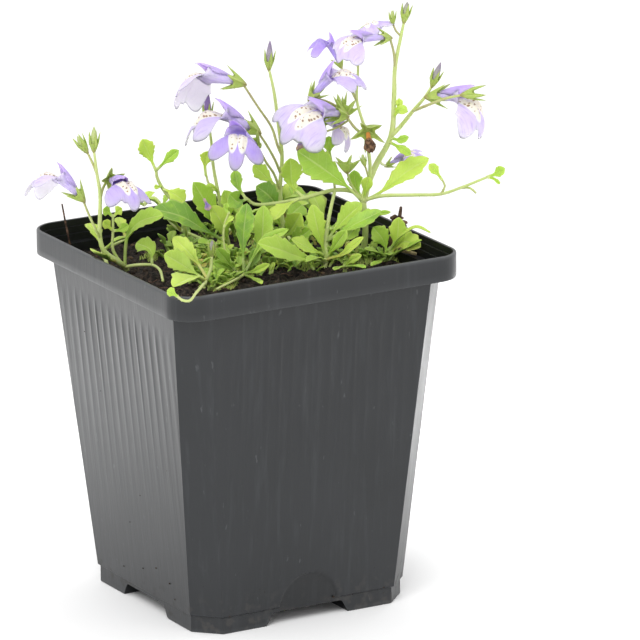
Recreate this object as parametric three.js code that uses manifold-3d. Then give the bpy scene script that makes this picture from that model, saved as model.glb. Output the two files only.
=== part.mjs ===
// Creeping mazus in flower, growing in a ribbed square nursery pot.
// Millimetres, +Z up. The pot stands on z = 0 and its axis is the Z axis.
import * as THREE from 'three';
import Module from 'manifold-3d';

const wasm = await Module();
wasm.setup();

// Pot
const RIM_SIDE = 90;
const POT_HEIGHT = 101.4;
const BAND_HEIGHT = 7.2;
const BAND_CORNER = 8;
const BODY_TOP_SIDE = 83.8;
const BODY_FOOT_SIDE = 67.6;
const CHAMFER = 6.6;
const WALL = 1.2;
const FOOT_STEP = 4.7;
const FOOT_INSET = 0.5;
const FLOOR_TOP = 5.2;
const NOTCH_WIDE = 23;
const NOTCH_HIGH = 3.7;
const DRAIN_RADIUS = 3.5;
const DRAIN_REACH = 18;
const RIB_COUNT = 17;
const RIB_PITCH = 3.9;
const RIB_PROUD = 0.4;
const RIB_HALF = 0.55;
const RIB_TOP = 88;
const RIB_FOOT = 16;
const ARCH_RADIUS = 9;
const ARCH_DEPTH = 0.45;
const GAP = 0.3;

// Soil and roots
const SOIL_TOP = 93;
const SOIL_RELIEF = 0.9;
const SOIL_CELLS = 11;
const ROOT_DEPTH = 5;

// Leaves, calyces and corollas
const BLADE_THICK = 0.9;
const BLADE_FOLD = 0.3;
const FLAT_BLADE = 5;
const TOOTH_DEPTH = 0.16;
const PETIOLE_HALF = 0.5;
const LONG_PETIOLE = 0.2;
const CALYX_CUP = 2.7;
const CALYX_LOBE = 6.6;
const BUD_CALYX = 0.85;
const LIP_LENGTH = 12;
const LIP_THICK = 0.7;
const WILTED = 1.5;

// Slivers that joining leaves in a skin
const SHORT_EDGE = 0.12;
const SLIVER = 0.02;
const MOST_TILT = THREE.MathUtils.degToRad(35);
const TIDY_ROUNDS = 6;

const COLOURS = {
  pot: 0x3b3d3e,
  soil: 0x2a211b,
  green: 0x8fbf3f,
  violet: 0xc3b0ee,
  brown: 0x4a3226,
  straw: 0xb8a878,
};

// The reference picture's view: the plant's places are read across and down it in
// pixels, with a third number for the millimetres behind the pot's axis.
const PICTURE_MIDDLE = 320;
const VIEW_AZIMUTH = THREE.MathUtils.degToRad(-29.22);
const VIEW_ELEVATION = THREE.MathUtils.degToRad(15.98);
const VIEW_ROLL = THREE.MathUtils.degToRad(-0.66);
const VIEW_DISTANCE = 2127.9;
const VIEW_FOCUS = 7622;
const VIEW_AIM_HEIGHT = 50;
const VIEW_AIM_RIGHT = 20.23;
const VIEW_AIM_UP = 27.02;

const UP = new THREE.Vector3(0, 0, 1);
const view = makeView();

function makeView() {
  const back = new THREE.Vector3(
    Math.sin(VIEW_AZIMUTH) * Math.cos(VIEW_ELEVATION),
    -Math.cos(VIEW_AZIMUTH) * Math.cos(VIEW_ELEVATION),
    Math.sin(VIEW_ELEVATION),
  );
  const level = new THREE.Vector3().crossVectors(UP, back).normalize();
  const rise = new THREE.Vector3().crossVectors(back, level);
  const right = level.clone().multiplyScalar(Math.cos(VIEW_ROLL)).addScaledVector(rise, Math.sin(VIEW_ROLL));
  const up = rise.clone().multiplyScalar(Math.cos(VIEW_ROLL)).addScaledVector(level, -Math.sin(VIEW_ROLL));
  const eye = new THREE.Vector3(0, 0, VIEW_AIM_HEIGHT)
    .addScaledVector(back, VIEW_DISTANCE)
    .addScaledVector(right, VIEW_AIM_RIGHT)
    .addScaledVector(up, VIEW_AIM_UP);
  const away = new THREE.Vector3(-back.x, -back.y, 0).normalize();
  return { back, level, right, up, eye, away };
}

// Direction from the eye through a pixel of the picture
function sightLine(x, y) {
  return view.back.clone().multiplyScalar(-VIEW_FOCUS)
    .addScaledVector(view.right, x - PICTURE_MIDDLE)
    .addScaledVector(view.up, PICTURE_MIDDLE - y);
}

// Point seen at a pixel, a given distance behind the pot's axis; a point stays itself
function seen(place) {
  if (place.isVector3) return place.clone();
  const [x, y, away] = place;
  const line = sightLine(x, y);
  const reach = (away - view.eye.dot(view.away)) / line.dot(view.away);
  return view.eye.clone().addScaledVector(line, reach);
}

// Pixel and distance of the point of the soil's surface that is seen there
function ground(x, y) {
  const line = sightLine(x, y);
  const point = view.eye.clone().addScaledVector(line, (SOIL_TOP - view.eye.z) / line.z);
  return [x, y, point.dot(view.away)];
}

// Direction given as right, up and towards the viewer
function facing([right, up, toward]) {
  return view.level.clone().multiplyScalar(right)
    .addScaledVector(UP, up)
    .addScaledVector(view.away, -toward)
    .normalize();
}

function seededRandom(seed) {
  let state = seed;
  return () => {
    state = (state * 16807) % 2147483647;
    return state / 2147483647;
  };
}

// Solids
function solid(points, faces) {
  const at = (i) => points[i];
  const normal = new THREE.Vector3();
  let volume = 0;
  for (const [a, b, c] of faces) {
    volume += at(a).dot(normal.crossVectors(at(b), at(c)));
  }
  const facesOut = volume < 0 ? faces.map(([a, b, c]) => [a, c, b]) : faces;
  const vertProperties = new Float32Array(points.flatMap((p) => [p.x, p.y, p.z]));
  const triVerts = new Uint32Array(facesOut.flat());
  return new wasm.Manifold(new wasm.Mesh({ numProp: 3, vertProperties, triVerts }));
}

// Closed skin over rings of one length; an end ring of one point is a tip
function skin(rings) {
  const points = [];
  const faces = [];
  const starts = rings.map((ring) => {
    points.push(...ring);
    return points.length - ring.length;
  });
  for (let k = 0; k + 1 < rings.length; k += 1) {
    const low = rings[k].length;
    const high = rings[k + 1].length;
    const sides = Math.max(low, high);
    for (let i = 0; i < sides; i += 1) {
      const j = (i + 1) % sides;
      const a = starts[k] + (low === 1 ? 0 : i);
      const b = starts[k] + (low === 1 ? 0 : j);
      const c = starts[k + 1] + (high === 1 ? 0 : j);
      const d = starts[k + 1] + (high === 1 ? 0 : i);
      if (low > 1) faces.push([a, b, c]);
      if (high > 1) faces.push([a, c, d]);
    }
  }
  const last = rings.length - 1;
  for (let i = 1; i + 1 < rings[0].length; i += 1) {
    faces.push([starts[0], starts[0] + i + 1, starts[0] + i]);
  }
  for (let i = 1; i + 1 < rings[last].length; i += 1) {
    faces.push([starts[last], starts[last] + i, starts[last] + i + 1]);
  }
  return solid(points, faces);
}

function fuse(solids) {
  return solids.reduce((sum, next) => sum.add(next));
}

function areaVector([a, b, c]) {
  return b.clone().sub(a).cross(c.clone().sub(a));
}

// A triangle's smallest height
function slimness(corners) {
  const [a, b, c] = corners;
  const longest = Math.max(a.distanceTo(b), b.distanceTo(c), c.distanceTo(a));
  return areaVector(corners).length() / longest;
}

// Takes the slivers out of a closed skin: its shortest edges shrink to a point, and a
// triangle that is nearly a line swaps the edge that it shares with its neighbour
function tidied(points, faces) {
  const around = points.map(() => new Set());
  faces.forEach((face, f) => face.forEach((p) => around[p].add(f)));
  const corners = (face) => face.map((p) => points[p]);
  const neighbours = (p) => new Set([...around[p]].flatMap((f) => faces[f]));
  const shared = (p, q) => [...around[p]].filter((f) => around[q].has(f));
  const tilt = (one, two) => areaVector(corners(one)).angleTo(areaVector(corners(two)));

  const shrink = (keep, gone) => {
    const others = neighbours(keep);
    const common = [...neighbours(gone)].filter((p) => others.has(p));
    const dropped = shared(keep, gone);
    if (dropped.length !== 2 || common.length !== 4) return false;
    const kept = [...around[gone]].filter((f) => !dropped.includes(f));
    const after = (f) => faces[f].map((p) => (p === gone ? keep : p));
    if (kept.some((f) => tilt(faces[f], after(f)) > MOST_TILT)) return false;
    for (const f of dropped) {
      for (const p of faces[f]) around[p].delete(f);
      faces[f] = null;
    }
    for (const f of kept) {
      faces[f] = after(f);
      around[keep].add(f);
    }
    around[gone].clear();
    return true;
  };

  const length = ([p, q]) => points[p].distanceTo(points[q]);
  const swap = (f) => {
    const [a, b, c] = faces[f];
    const [p, q, r] = [[a, b, c], [b, c, a], [c, a, b]].sort((one, two) => length(two) - length(one))[0];
    const g = shared(p, q).find((other) => other !== f);
    const s = faces[g].find((corner) => corner !== p && corner !== q);
    if (shared(r, s).length > 0) return false;
    const swapped = [[p, s, r], [s, q, r]];
    const before = Math.min(slimness(corners(faces[f])), slimness(corners(faces[g])));
    const after = Math.min(...swapped.map((face) => slimness(corners(face))));
    const outward = areaVector(corners(faces[g]));
    const turns = swapped.some((face) => areaVector(corners(face)).dot(outward) <= 0);
    if (turns || after <= before) return false;
    for (const old of [f, g]) {
      for (const corner of faces[old]) around[corner].delete(old);
    }
    [f, g].forEach((old, k) => {
      faces[old] = swapped[k];
      for (const corner of swapped[k]) around[corner].add(old);
    });
    return true;
  };

  for (let round = 0; round < TIDY_ROUNDS; round += 1) {
    for (let f = 0; f < faces.length; f += 1) {
      for (const [i, j] of [[0, 1], [1, 2], [2, 0]]) {
        if (!faces[f]) break;
        const [p, q] = [faces[f][i], faces[f][j]];
        if (length([p, q]) < SHORT_EDGE && !shrink(p, q)) shrink(q, p);
      }
      if (faces[f] && slimness(corners(faces[f])) < SLIVER) swap(f);
    }
  }
  return faces.filter((face) => face);
}

function mesh(name, body, colour, roughness = 0.7) {
  const { vertProperties, triVerts } = body.getMesh();
  const points = [];
  for (let i = 0; i < vertProperties.length; i += 3) {
    points.push(new THREE.Vector3(vertProperties[i], vertProperties[i + 1], vertProperties[i + 2]));
  }
  const faces = [];
  for (let i = 0; i < triVerts.length; i += 3) {
    faces.push([triVerts[i], triVerts[i + 1], triVerts[i + 2]]);
  }
  const kept = tidied(points, faces);
  const used = [...new Set(kept.flat())];
  const place = new Map(used.map((p, i) => [p, i]));
  const positions = used.flatMap((p) => points[p].toArray());
  const geometry = new THREE.BufferGeometry();
  geometry.setAttribute('position', new THREE.BufferAttribute(new Float32Array(positions), 3));
  geometry.setIndex(kept.flat().map((p) => place.get(p)));
  geometry.computeVertexNormals();
  const material = new THREE.MeshStandardMaterial({ color: colour, roughness, metalness: 0 });
  const node = new THREE.Mesh(geometry, material);
  node.name = name;
  return node;
}

// Pot
function chamferedSquare(half, cut, z) {
  const flat = half - cut;
  const corners = [
    [flat, -half], [half, -flat], [half, flat], [flat, half],
    [-flat, half], [-half, flat], [-half, -flat], [-flat, -half],
  ];
  return corners.map(([x, y]) => new THREE.Vector3(x, y, z));
}

function roundedSquare(half, radius, z) {
  const points = [];
  const steps = 4;
  for (let corner = 0; corner < 4; corner += 1) {
    const turn = corner * Math.PI / 2;
    for (let i = 0; i <= steps; i += 1) {
      const angle = turn + (i / steps) * Math.PI / 2;
      const centreX = (half - radius) * (Math.cos(turn) - Math.sin(turn));
      const centreY = (half - radius) * (Math.sin(turn) + Math.cos(turn));
      points.push(new THREE.Vector3(
        centreX + radius * Math.cos(angle),
        centreY + radius * Math.sin(angle),
        z,
      ));
    }
  }
  return points;
}

const BAND_FOOT = POT_HEIGHT - BAND_HEIGHT;
const LEDGE_TOP = BAND_FOOT + WALL;

// Half the body's width at a height
function bodyHalf(z) {
  const share = (z - FOOT_STEP) / (BAND_FOOT - FOOT_STEP);
  return THREE.MathUtils.lerp(BODY_FOOT_SIDE, BODY_TOP_SIDE, share) / 2;
}

function box(wideX, wideY, low, high) {
  const corners = (z) => [[1, 1], [-1, 1], [-1, -1], [1, -1]]
    .map(([x, y]) => new THREE.Vector3(x * wideX / 2, y * wideY / 2, z));
  return skin([corners(low), corners(high)]);
}

function drainHole(x, y) {
  const sides = 10;
  const ring = (z) => Array.from({ length: sides }, (_, i) => {
    const angle = (i / sides) * 2 * Math.PI;
    return new THREE.Vector3(x + DRAIN_RADIUS * Math.cos(angle), y + DRAIN_RADIUS * Math.sin(angle), z);
  });
  return skin([ring(NOTCH_HIGH - 1), ring(FLOOR_TOP + 1)]);
}

// One rib of a face that looks along -Y: proudest at its top and run out at its foot
function rib(across) {
  const wall = (z) => -bodyHalf(z);
  const crown = [
    new THREE.Vector3(across - RIB_HALF, wall(RIB_TOP) + WALL / 2, RIB_TOP),
    new THREE.Vector3(across + RIB_HALF, wall(RIB_TOP) + WALL / 2, RIB_TOP),
    new THREE.Vector3(across, wall(RIB_TOP) - RIB_PROUD, RIB_TOP),
  ];
  const foot = [new THREE.Vector3(across, wall(RIB_FOOT) + 0.05, RIB_FOOT)];
  return skin([foot, crown]);
}

// Shallow arch over the notch of a face that looks along -Y
function arch() {
  const steps = 8;
  const ring = (inset) => Array.from({ length: steps + 1 }, (_, i) => {
    const angle = (i / steps) * Math.PI;
    const z = NOTCH_HIGH + 1 + ARCH_RADIUS * Math.sin(angle);
    return new THREE.Vector3(ARCH_RADIUS * Math.cos(angle), -bodyHalf(z) + inset, z);
  });
  return skin([ring(-2), ring(ARCH_DEPTH)]);
}

function turned(body, quarter) {
  return body.rotate([0, 0, quarter * 90]);
}

function pot() {
  const footHalf = BODY_FOOT_SIDE / 2;
  const outer = skin([
    chamferedSquare(footHalf - FOOT_INSET, CHAMFER, 0),
    chamferedSquare(footHalf - FOOT_INSET, CHAMFER, FOOT_STEP),
    chamferedSquare(footHalf, CHAMFER, FOOT_STEP + 0.4),
    chamferedSquare(bodyHalf(LEDGE_TOP), CHAMFER, LEDGE_TOP),
  ]);
  const band = skin([
    roundedSquare(RIM_SIDE / 2, BAND_CORNER, BAND_FOOT),
    roundedSquare(RIM_SIDE / 2, BAND_CORNER, POT_HEIGHT),
  ]);
  const hollow = skin([
    chamferedSquare(bodyHalf(FLOOR_TOP) - WALL, CHAMFER - 0.5, FLOOR_TOP),
    chamferedSquare(bodyHalf(LEDGE_TOP) - WALL, CHAMFER - 0.5, LEDGE_TOP + 1),
  ]);
  const steps = [[0, LEDGE_TOP], [0.45, LEDGE_TOP + 2], [0.9, LEDGE_TOP + 4]].map(([out, low]) => skin([
    roundedSquare(RIM_SIDE / 2 - 2 + out, BAND_CORNER - 1.5, low),
    roundedSquare(RIM_SIDE / 2 - 2 + out, BAND_CORNER - 1.5, POT_HEIGHT + 1),
  ]));
  const notches = [box(NOTCH_WIDE, RIM_SIDE, -1, NOTCH_HIGH), box(RIM_SIDE, NOTCH_WIDE, -1, NOTCH_HIGH)];
  const drains = [[0, 0], [1, 0], [0, 1], [-1, 0], [0, -1]]
    .map(([x, y]) => drainHole(x * DRAIN_REACH, y * DRAIN_REACH));
  const ribs = [];
  for (let i = 0; i < RIB_COUNT; i += 1) {
    ribs.push(rib((i - (RIB_COUNT - 1) / 2) * RIB_PITCH));
  }
  const ribbedFace = fuse(ribs);
  let body = outer.add(band);
  for (let quarter = 0; quarter < 4; quarter += 1) {
    body = body.add(turned(ribbedFace, quarter));
  }
  body = body.subtract(turned(arch(), 0)).subtract(turned(arch(), 2));
  return body.subtract(fuse([hollow, ...steps])).subtract(fuse([...notches, ...drains]));
}

// Soil
function soilRelief(x, y) {
  return SOIL_RELIEF * (
    0.5 * Math.sin(x * 0.37 + 1.3) * Math.cos(y * 0.29)
    + 0.3 * Math.sin(x * 0.83 + y * 0.61)
    + 0.2 * Math.cos(y * 1.31 - x * 0.47)
  );
}

const rootHoles = [];

function soil() {
  const half = bodyHalf(SOIL_TOP) - WALL + 1;
  const points = [];
  const faces = [];
  const side = SOIL_CELLS + 1;
  const floor = FLOOR_TOP - 1;
  for (const top of [true, false]) {
    for (let j = 0; j < side; j += 1) {
      for (let i = 0; i < side; i += 1) {
        const x = (i / SOIL_CELLS * 2 - 1) * half;
        const y = (j / SOIL_CELLS * 2 - 1) * half;
        points.push(new THREE.Vector3(x, y, top ? SOIL_TOP + soilRelief(x, y) : floor));
      }
    }
  }
  const deep = side * side;
  const quad = (a, b, c, d) => faces.push([a, b, c], [a, c, d]);
  for (let j = 0; j < SOIL_CELLS; j += 1) {
    for (let i = 0; i < SOIL_CELLS; i += 1) {
      const a = j * side + i;
      quad(a, a + 1, a + side + 1, a + side);
      quad(deep + a, deep + a + side, deep + a + side + 1, deep + a + 1);
    }
    const right = j * side + SOIL_CELLS;
    const left = j * side;
    const front = j;
    const rear = SOIL_CELLS * side + j;
    quad(right, deep + right, deep + right + side, right + side);
    quad(left, left + side, deep + left + side, deep + left);
    quad(front, deep + front, deep + front + 1, front + 1);
    quad(rear, rear + 1, deep + rear + 1, deep + rear);
  }
  const block = solid(points, faces);
  const room = skin([
    chamferedSquare(bodyHalf(FLOOR_TOP) - WALL - GAP, CHAMFER - 0.5, FLOOR_TOP + GAP),
    chamferedSquare(bodyHalf(SOIL_TOP) - WALL - GAP, CHAMFER - 0.5, SOIL_TOP + 4),
  ]);
  const holes = rootHoles.map(({ x, y, radius }) => {
    const ring = (z) => Array.from({ length: 5 }, (_, i) => {
      const angle = (i / 5) * 2 * Math.PI;
      return new THREE.Vector3(x + radius * Math.cos(angle), y + radius * Math.sin(angle), z);
    });
    return skin([ring(SOIL_TOP - ROOT_DEPTH - 1), ring(SOIL_TOP + 4)]);
  });
  return block.intersect(room).subtract(fuse(holes));
}

// Stems
const STEM_STEP = 13;
const SLIM = 1.55;

// Places along a curve: every given point, and more where a stretch is long
function curvePlaces(points) {
  const places = [0];
  const spans = points.length - 1;
  for (let k = 0; k < spans; k += 1) {
    const parts = Math.max(1, Math.round(points[k].distanceTo(points[k + 1]) / STEM_STEP));
    for (let i = 1; i <= parts; i += 1) places.push((k + i / parts) / spans);
  }
  return places;
}

function tube(points, fromThick, toThick) {
  const curve = new THREE.CatmullRomCurve3(points);
  const places = curvePlaces(points);
  const sides = fromThick < SLIM ? 4 : 5;
  const across = new THREE.Vector3().crossVectors(curve.getTangent(0), view.back).normalize();
  const rings = places.map((t) => {
    const along = curve.getTangent(t);
    across.addScaledVector(along, -across.dot(along)).normalize();
    const other = new THREE.Vector3().crossVectors(along, across);
    const radius = THREE.MathUtils.lerp(fromThick, toThick, t) / 2;
    return Array.from({ length: sides }, (_, i) => {
      const angle = (i / sides) * 2 * Math.PI;
      return curve.getPoint(t)
        .addScaledVector(across, radius * Math.cos(angle))
        .addScaledVector(other, radius * Math.sin(angle));
    });
  });
  return skin(rings);
}

function stem(route, fromThick, toThick) {
  return tube(route.map(seen), fromThick, toThick);
}

// Stem that starts in the soil, straight down, in a hole a little wider than it is
function rooted(route, fromThick, toThick) {
  const points = route.map(seen);
  const foot = points[0];
  rootHoles.push({ x: foot.x, y: foot.y, radius: fromThick / 2 + 0.7 });
  points.unshift(foot.clone().addScaledVector(UP, -ROOT_DEPTH));
  return tube(points, fromThick, toThick);
}

// Leaves: spoon-shaped blades with coarse teeth on the outer half
function leafOutline(s) {
  return Math.sin(Math.PI * s ** 1.6) ** 0.8;
}

function toothFactor(s, teeth) {
  const start = 0.25;
  if (s < start) return 1;
  const phase = ((s - start) / (1 - start) * teeth) % 1;
  return 1 - TOOTH_DEPTH * Math.max(0, 0.8 - phase);
}

// Places along a blade where its outline turns: tooth points and the notches between
function bladeStations(teeth, stalked) {
  const places = stalked ? [0, 0.2] : [0.2];
  for (let k = 0; k < teeth; k += 1) {
    places.push(0.25 + 0.75 * (k + 0.8) / teeth);
    if (k + 1 < teeth) places.push(0.25 + 0.75 * (k + 1.001) / teeth);
  }
  return places;
}

function blade(points, wide, normal, teeth, petiole) {
  const curve = new THREE.CatmullRomCurve3(points);
  const rings = [];
  const ringAt = (t, half, thick) => {
    const centre = curve.getPointAt(t);
    const along = curve.getTangentAt(t);
    const out = normal.clone().addScaledVector(along, -along.dot(normal)).normalize();
    const across = new THREE.Vector3().crossVectors(along, out);
    const rise = half * BLADE_FOLD;
    const left = centre.clone().addScaledVector(across, -half).addScaledVector(out, rise);
    const right = centre.clone().addScaledVector(across, half).addScaledVector(out, rise);
    const over = centre.clone().addScaledVector(out, thick / 2);
    const under = centre.clone().addScaledVector(out, -thick / 2);
    return wide < FLAT_BLADE ? [left, right, under] : [left, over, right, under];
  };
  rings.push(ringAt(0, PETIOLE_HALF, BLADE_THICK));
  for (const s of bladeStations(teeth, petiole > LONG_PETIOLE)) {
    const half = Math.max(PETIOLE_HALF, wide / 2 * leafOutline(s) * toothFactor(s, teeth));
    rings.push(ringAt(petiole + (1 - petiole) * s, half, BLADE_THICK));
  }
  rings.push([curve.getPointAt(1)]);
  return skin(rings);
}

const TO_VIEWER = [0, 0.5, 0.85];
const SKYWARD = [0, 1, 0.3];

function leaf(rib, wide, face = TO_VIEWER, teeth = wide < 4.5 ? 2 : 3, petiole = 0.2) {
  return blade(rib.map(seen), wide, facing(face), teeth, petiole);
}

// Flowers: places of the calyx's foot, the mouth and the tip of the lower lip, and the
// side of the upper lip as right, up and towards the viewer
function flowerAt(base, mouth, tip, upper) {
  const foot = seen(base);
  const throat = seen(mouth);
  const end = seen(tip);
  const axis = throat.clone().sub(foot).normalize();
  const top = facing(upper);
  top.addScaledVector(axis, -top.dot(axis)).normalize();
  const lip = end.clone().sub(throat);
  const size = lip.length() / LIP_LENGTH;
  lip.normalize();
  const side = new THREE.Vector3().crossVectors(top, lip).normalize();
  const lipUp = new THREE.Vector3().crossVectors(lip, side);
  return { foot, throat, axis, top, side, lip, lipUp, size };
}

const FLOWERS = {
  a: flowerAt([83, 200, -16], [64, 180, -17], [24, 194, -18], [-0.3, 1, 0]),
  c: flowerAt([108, 179, -4], [119, 183, -11], [136, 210, -20], [0.2, 1, 0.2]),
  l: flowerAt([243, 84, 12], [214, 76, 11], [174, 107, 9], [-0.4, 1, -0.4]),
  o: flowerAt([258, 132, 9], [228, 115, 7], [184, 144, 6], [-0.4, 1, 0.1]),
  p: flowerAt([258, 147, 6], [238, 133, -5], [235, 170, -14], [-0.2, 1, 0.2]),
  q: flowerAt([346, 116, 8], [320, 109, 4], [281, 143, -2], [-0.2, 0.9, 0.4]),
  r: flowerAt([322, 119, 21], [335, 124, 16], [347, 152, 12], [0.3, 1, -0.2]),
  s: flowerAt([310, 99, 7], [330, 76, 5], [367, 88, 3], [-1, 0.5, -0.1]),
  t: flowerAt([390, 38, 9], [361, 37, 5], [337, 62, 2], [0, 1, 0.3]),
  u: flowerAt([341, 67, 13], [330, 44, 14], [306, 52, 15], [0.3, 1, 0]),
  v: flowerAt([358, 33, 21], [370, 25, 17], [374, 32, 9], [-0.2, 1, 0.3]),
  y: flowerAt([428, 97, 5], [457, 95, 3], [482, 138, 2], [0.5, 0.8, 0.2]),
  z: flowerAt([386, 166, 24], [402, 157, 24], [424, 158, 22], [0, 1, 0.2]),
};

// Cup with five pointed lobes round a foot; spread 1 is half open
function lobedCup(foot, axis, size, spread) {
  const side = new THREE.Vector3().crossVectors(axis, view.back).normalize();
  const other = new THREE.Vector3().crossVectors(axis, side);
  const ring = (rows) => Array.from({ length: 10 }, (_, i) => {
    const { out, along } = rows[i % 2];
    const angle = (i / 10) * 2 * Math.PI;
    return foot.clone()
      .addScaledVector(axis, along)
      .addScaledVector(side, out * Math.cos(angle))
      .addScaledVector(other, out * Math.sin(angle));
  });
  const tip = { out: (1.7 + 1.8 * spread) * size, along: (CALYX_LOBE - 1.2 * spread) * size };
  const sinus = { out: (1.75 + 0.2 * spread) * size, along: (CALYX_CUP + 0.4) * size };
  const heel = 1.2 * size;
  const apex = [foot.clone().addScaledVector(axis, -heel)];
  // Ring inside the cup that stays under the lobes
  const lining = (out, along) => {
    const underLobe = 0.8 * tip.out * (along + heel) / (tip.along + heel);
    return ring([{ out: Math.min(out, underLobe), along }, { out, along }]);
  };
  return { ring, lining, outside: [apex, ring([tip, sinus])] };
}

function calyxCup(foot, axis, size, spread) {
  const { lining, outside } = lobedCup(foot, axis, size, spread);
  const bottom = [foot.clone().addScaledVector(axis, 1.2 * size)];
  return skin([...outside, lining(1.45 * size, CALYX_CUP * size), bottom]);
}

function calyx(flower, spread = 1) {
  return calyxCup(flower.foot, flower.axis, Math.min(1.1, flower.size), spread);
}

function emptyCalyx(base, toward, size = 1, spread = 1) {
  const foot = seen(base);
  return calyxCup(foot, seen(toward).sub(foot).normalize(), size, spread);
}

function bud(base, tip, size = 1) {
  const foot = seen(base);
  const end = seen(tip);
  const axis = end.clone().sub(foot);
  const long = axis.length();
  axis.normalize();
  const { ring, lining, outside } = lobedCup(foot, axis, size * BUD_CALYX, 0.15);
  const shoulder = { out: 0.75 * size, along: Math.max(long * 0.75, (CALYX_CUP + 0.5) * size) };
  return skin([...outside, lining(size, CALYX_CUP * size * BUD_CALYX), ring([shoulder, shoulder]), [end]]);
}

// Corollas: a tube, a narrow pointed upper lip and a broad lower lip of three lobes
// with two ridges on its middle
function lipReach(angle) {
  const lobe = (middle, half, reach) => {
    const turn = (angle - middle) / half * 90;
    if (Math.abs(turn) >= 90) return 0;
    return reach * Math.cos(THREE.MathUtils.degToRad(turn)) ** 0.35;
  };
  return Math.max(lobe(0, 15.5, LIP_LENGTH), lobe(35, 22, 10.6), lobe(-35, 22, 10.6), lobe(0, 74, 8));
}

function lipHeight(along, across) {
  const arch = 3.4 * (1 - ((along - 6) / 6) ** 2);
  const droop = 0.06 * across ** 2;
  const ridge = 1.3 * Math.exp(-(((Math.abs(across) - 1.25) / 0.8) ** 2));
  return arch - droop + ridge * Math.exp(-(((along - 3.6) / 2.3) ** 2));
}

const LIP_ANGLES = [-61, -44, -27, -15, -7, 7, 15, 27, 44, 61];
const LIP_SHARES = [0.3, 0.65];

function lowerLip({ throat, side, lip, lipUp, size }) {
  const at = (angle, share, lift) => {
    const reach = lipReach(angle) * share;
    const along = reach * Math.cos(THREE.MathUtils.degToRad(angle));
    const across = reach * Math.sin(THREE.MathUtils.degToRad(angle));
    return throat.clone()
      .addScaledVector(lip, along * size)
      .addScaledVector(side, across * size)
      .addScaledVector(lipUp, lipHeight(along, across) * size - 0.6 * size + lift);
  };
  const points = [];
  const faces = [];
  const count = LIP_ANGLES.length;
  const add = (p) => points.push(p) - 1;
  const rows = [LIP_THICK / 2, -LIP_THICK / 2].map((lift) => {
    const centre = add(at(0, 0, lift));
    const rings = LIP_SHARES.map((share) => LIP_ANGLES.map((angle) => add(at(angle, share, lift))));
    return { centre, rings };
  });
  const margin = LIP_ANGLES.map((angle) => add(at(angle, 1, 0)));
  rows.forEach(({ centre, rings }, k) => {
    const push = (a, b, c) => faces.push(k === 0 ? [a, b, c] : [a, c, b]);
    const bands = [...rings, margin];
    for (let i = 0; i + 1 < count; i += 1) {
      push(centre, bands[0][i], bands[0][i + 1]);
      for (let j = 0; j + 1 < bands.length; j += 1) {
        push(bands[j][i], bands[j + 1][i], bands[j + 1][i + 1]);
        push(bands[j][i], bands[j + 1][i + 1], bands[j][i + 1]);
      }
    }
  });
  const [upper, under] = rows;
  for (const [end, flip] of [[0, false], [count - 1, true]]) {
    const push = (a, b, c) => faces.push(flip ? [a, c, b] : [a, b, c]);
    const top = [upper.centre, ...upper.rings.map((ring) => ring[end])];
    const low = [under.centre, ...under.rings.map((ring) => ring[end])];
    for (let j = 0; j + 1 < top.length; j += 1) {
      push(top[j], low[j], low[j + 1]);
      push(top[j], low[j + 1], top[j + 1]);
    }
    push(top[top.length - 1], low[low.length - 1], margin[end]);
  }
  return solid(points, faces);
}

function corolla(flower) {
  const { foot, throat, axis, top, side, size } = flower;
  const scale = Math.min(1.1, size);
  const low = top.clone().multiplyScalar(-1);
  const length = throat.distanceTo(foot);
  const ring = (along, wide, high) => Array.from({ length: 5 }, (_, i) => {
    const angle = (i / 5 + 0.25) * 2 * Math.PI;
    return foot.clone()
      .addScaledVector(axis, along)
      .addScaledVector(side, wide * Math.cos(angle))
      .addScaledVector(low, high * Math.sin(angle));
  });
  const neck = skin([
    ring(2.4 * scale, 0.85 * scale, 0.85 * scale),
    ring(length + 0.8 * scale, 2.3 * scale, 1.7 * scale),
  ]);
  const upperLip = blade(
    [
      throat.clone().addScaledVector(axis, -3 * scale).addScaledVector(top, 0.9 * scale),
      throat.clone().addScaledVector(axis, 1.5 * scale).addScaledVector(top, 1.5 * scale),
      throat.clone().addScaledVector(axis, 5.5 * scale).addScaledVector(top, 2.3 * scale),
    ],
    4.4 * scale,
    low,
    1,
    0,
  );
  return fuse([lowerLip(flower), neck, upperLip]);
}

// Limp corolla that has dried on its calyx
function withered(base, toward, size, long) {
  const foot = seen(base);
  const axis = seen(toward).sub(foot).normalize();
  const side = new THREE.Vector3().crossVectors(axis, view.back).normalize();
  const other = new THREE.Vector3().crossVectors(axis, side);
  const ring = (along, radius, turn) => Array.from({ length: 5 }, (_, i) => {
    const angle = (i / 5) * 2 * Math.PI + turn;
    const reach = radius * (1 + 0.25 * Math.cos(2 * angle + along));
    return foot.clone()
      .addScaledVector(axis, along)
      .addScaledVector(UP, -WILTED * (along / long) ** 2)
      .addScaledVector(side, reach * Math.cos(angle))
      .addScaledVector(other, reach * Math.sin(angle));
  });
  return skin([
    ring(2.5 * size, 0.7 * size, 0),
    ring(long * 0.5, 1 * size, 0.2),
    ring(long * 0.75, 1.9 * size, 0.5),
    ring(long, 0.8 * size, 0.9),
  ]);
}

// Rough lump
function lump(place, radius, random) {
  const centre = seen(place);
  const ring = (height, wide) => Array.from({ length: 4 }, (_, i) => {
    const angle = (i / 4) * 2 * Math.PI;
    const reach = wide * radius * (0.75 + 0.5 * random());
    return centre.clone().add(new THREE.Vector3(
      reach * Math.cos(angle),
      reach * Math.sin(angle),
      height * radius,
    ));
  });
  const pole = (height) => [centre.clone().addScaledVector(UP, height * radius)];
  return skin([pole(-0.8), ring(-0.3, 0.9), ring(0.4, 0.8), pole(0.9)]);
}

const group = new THREE.Group();

function addNode(name, body, colour, roughness) {
  group.add(mesh(name, body, colour, roughness));
}

function spray(name, parts) {
  addNode(name, fuse(parts), COLOURS.green, 0.55);
}

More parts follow.
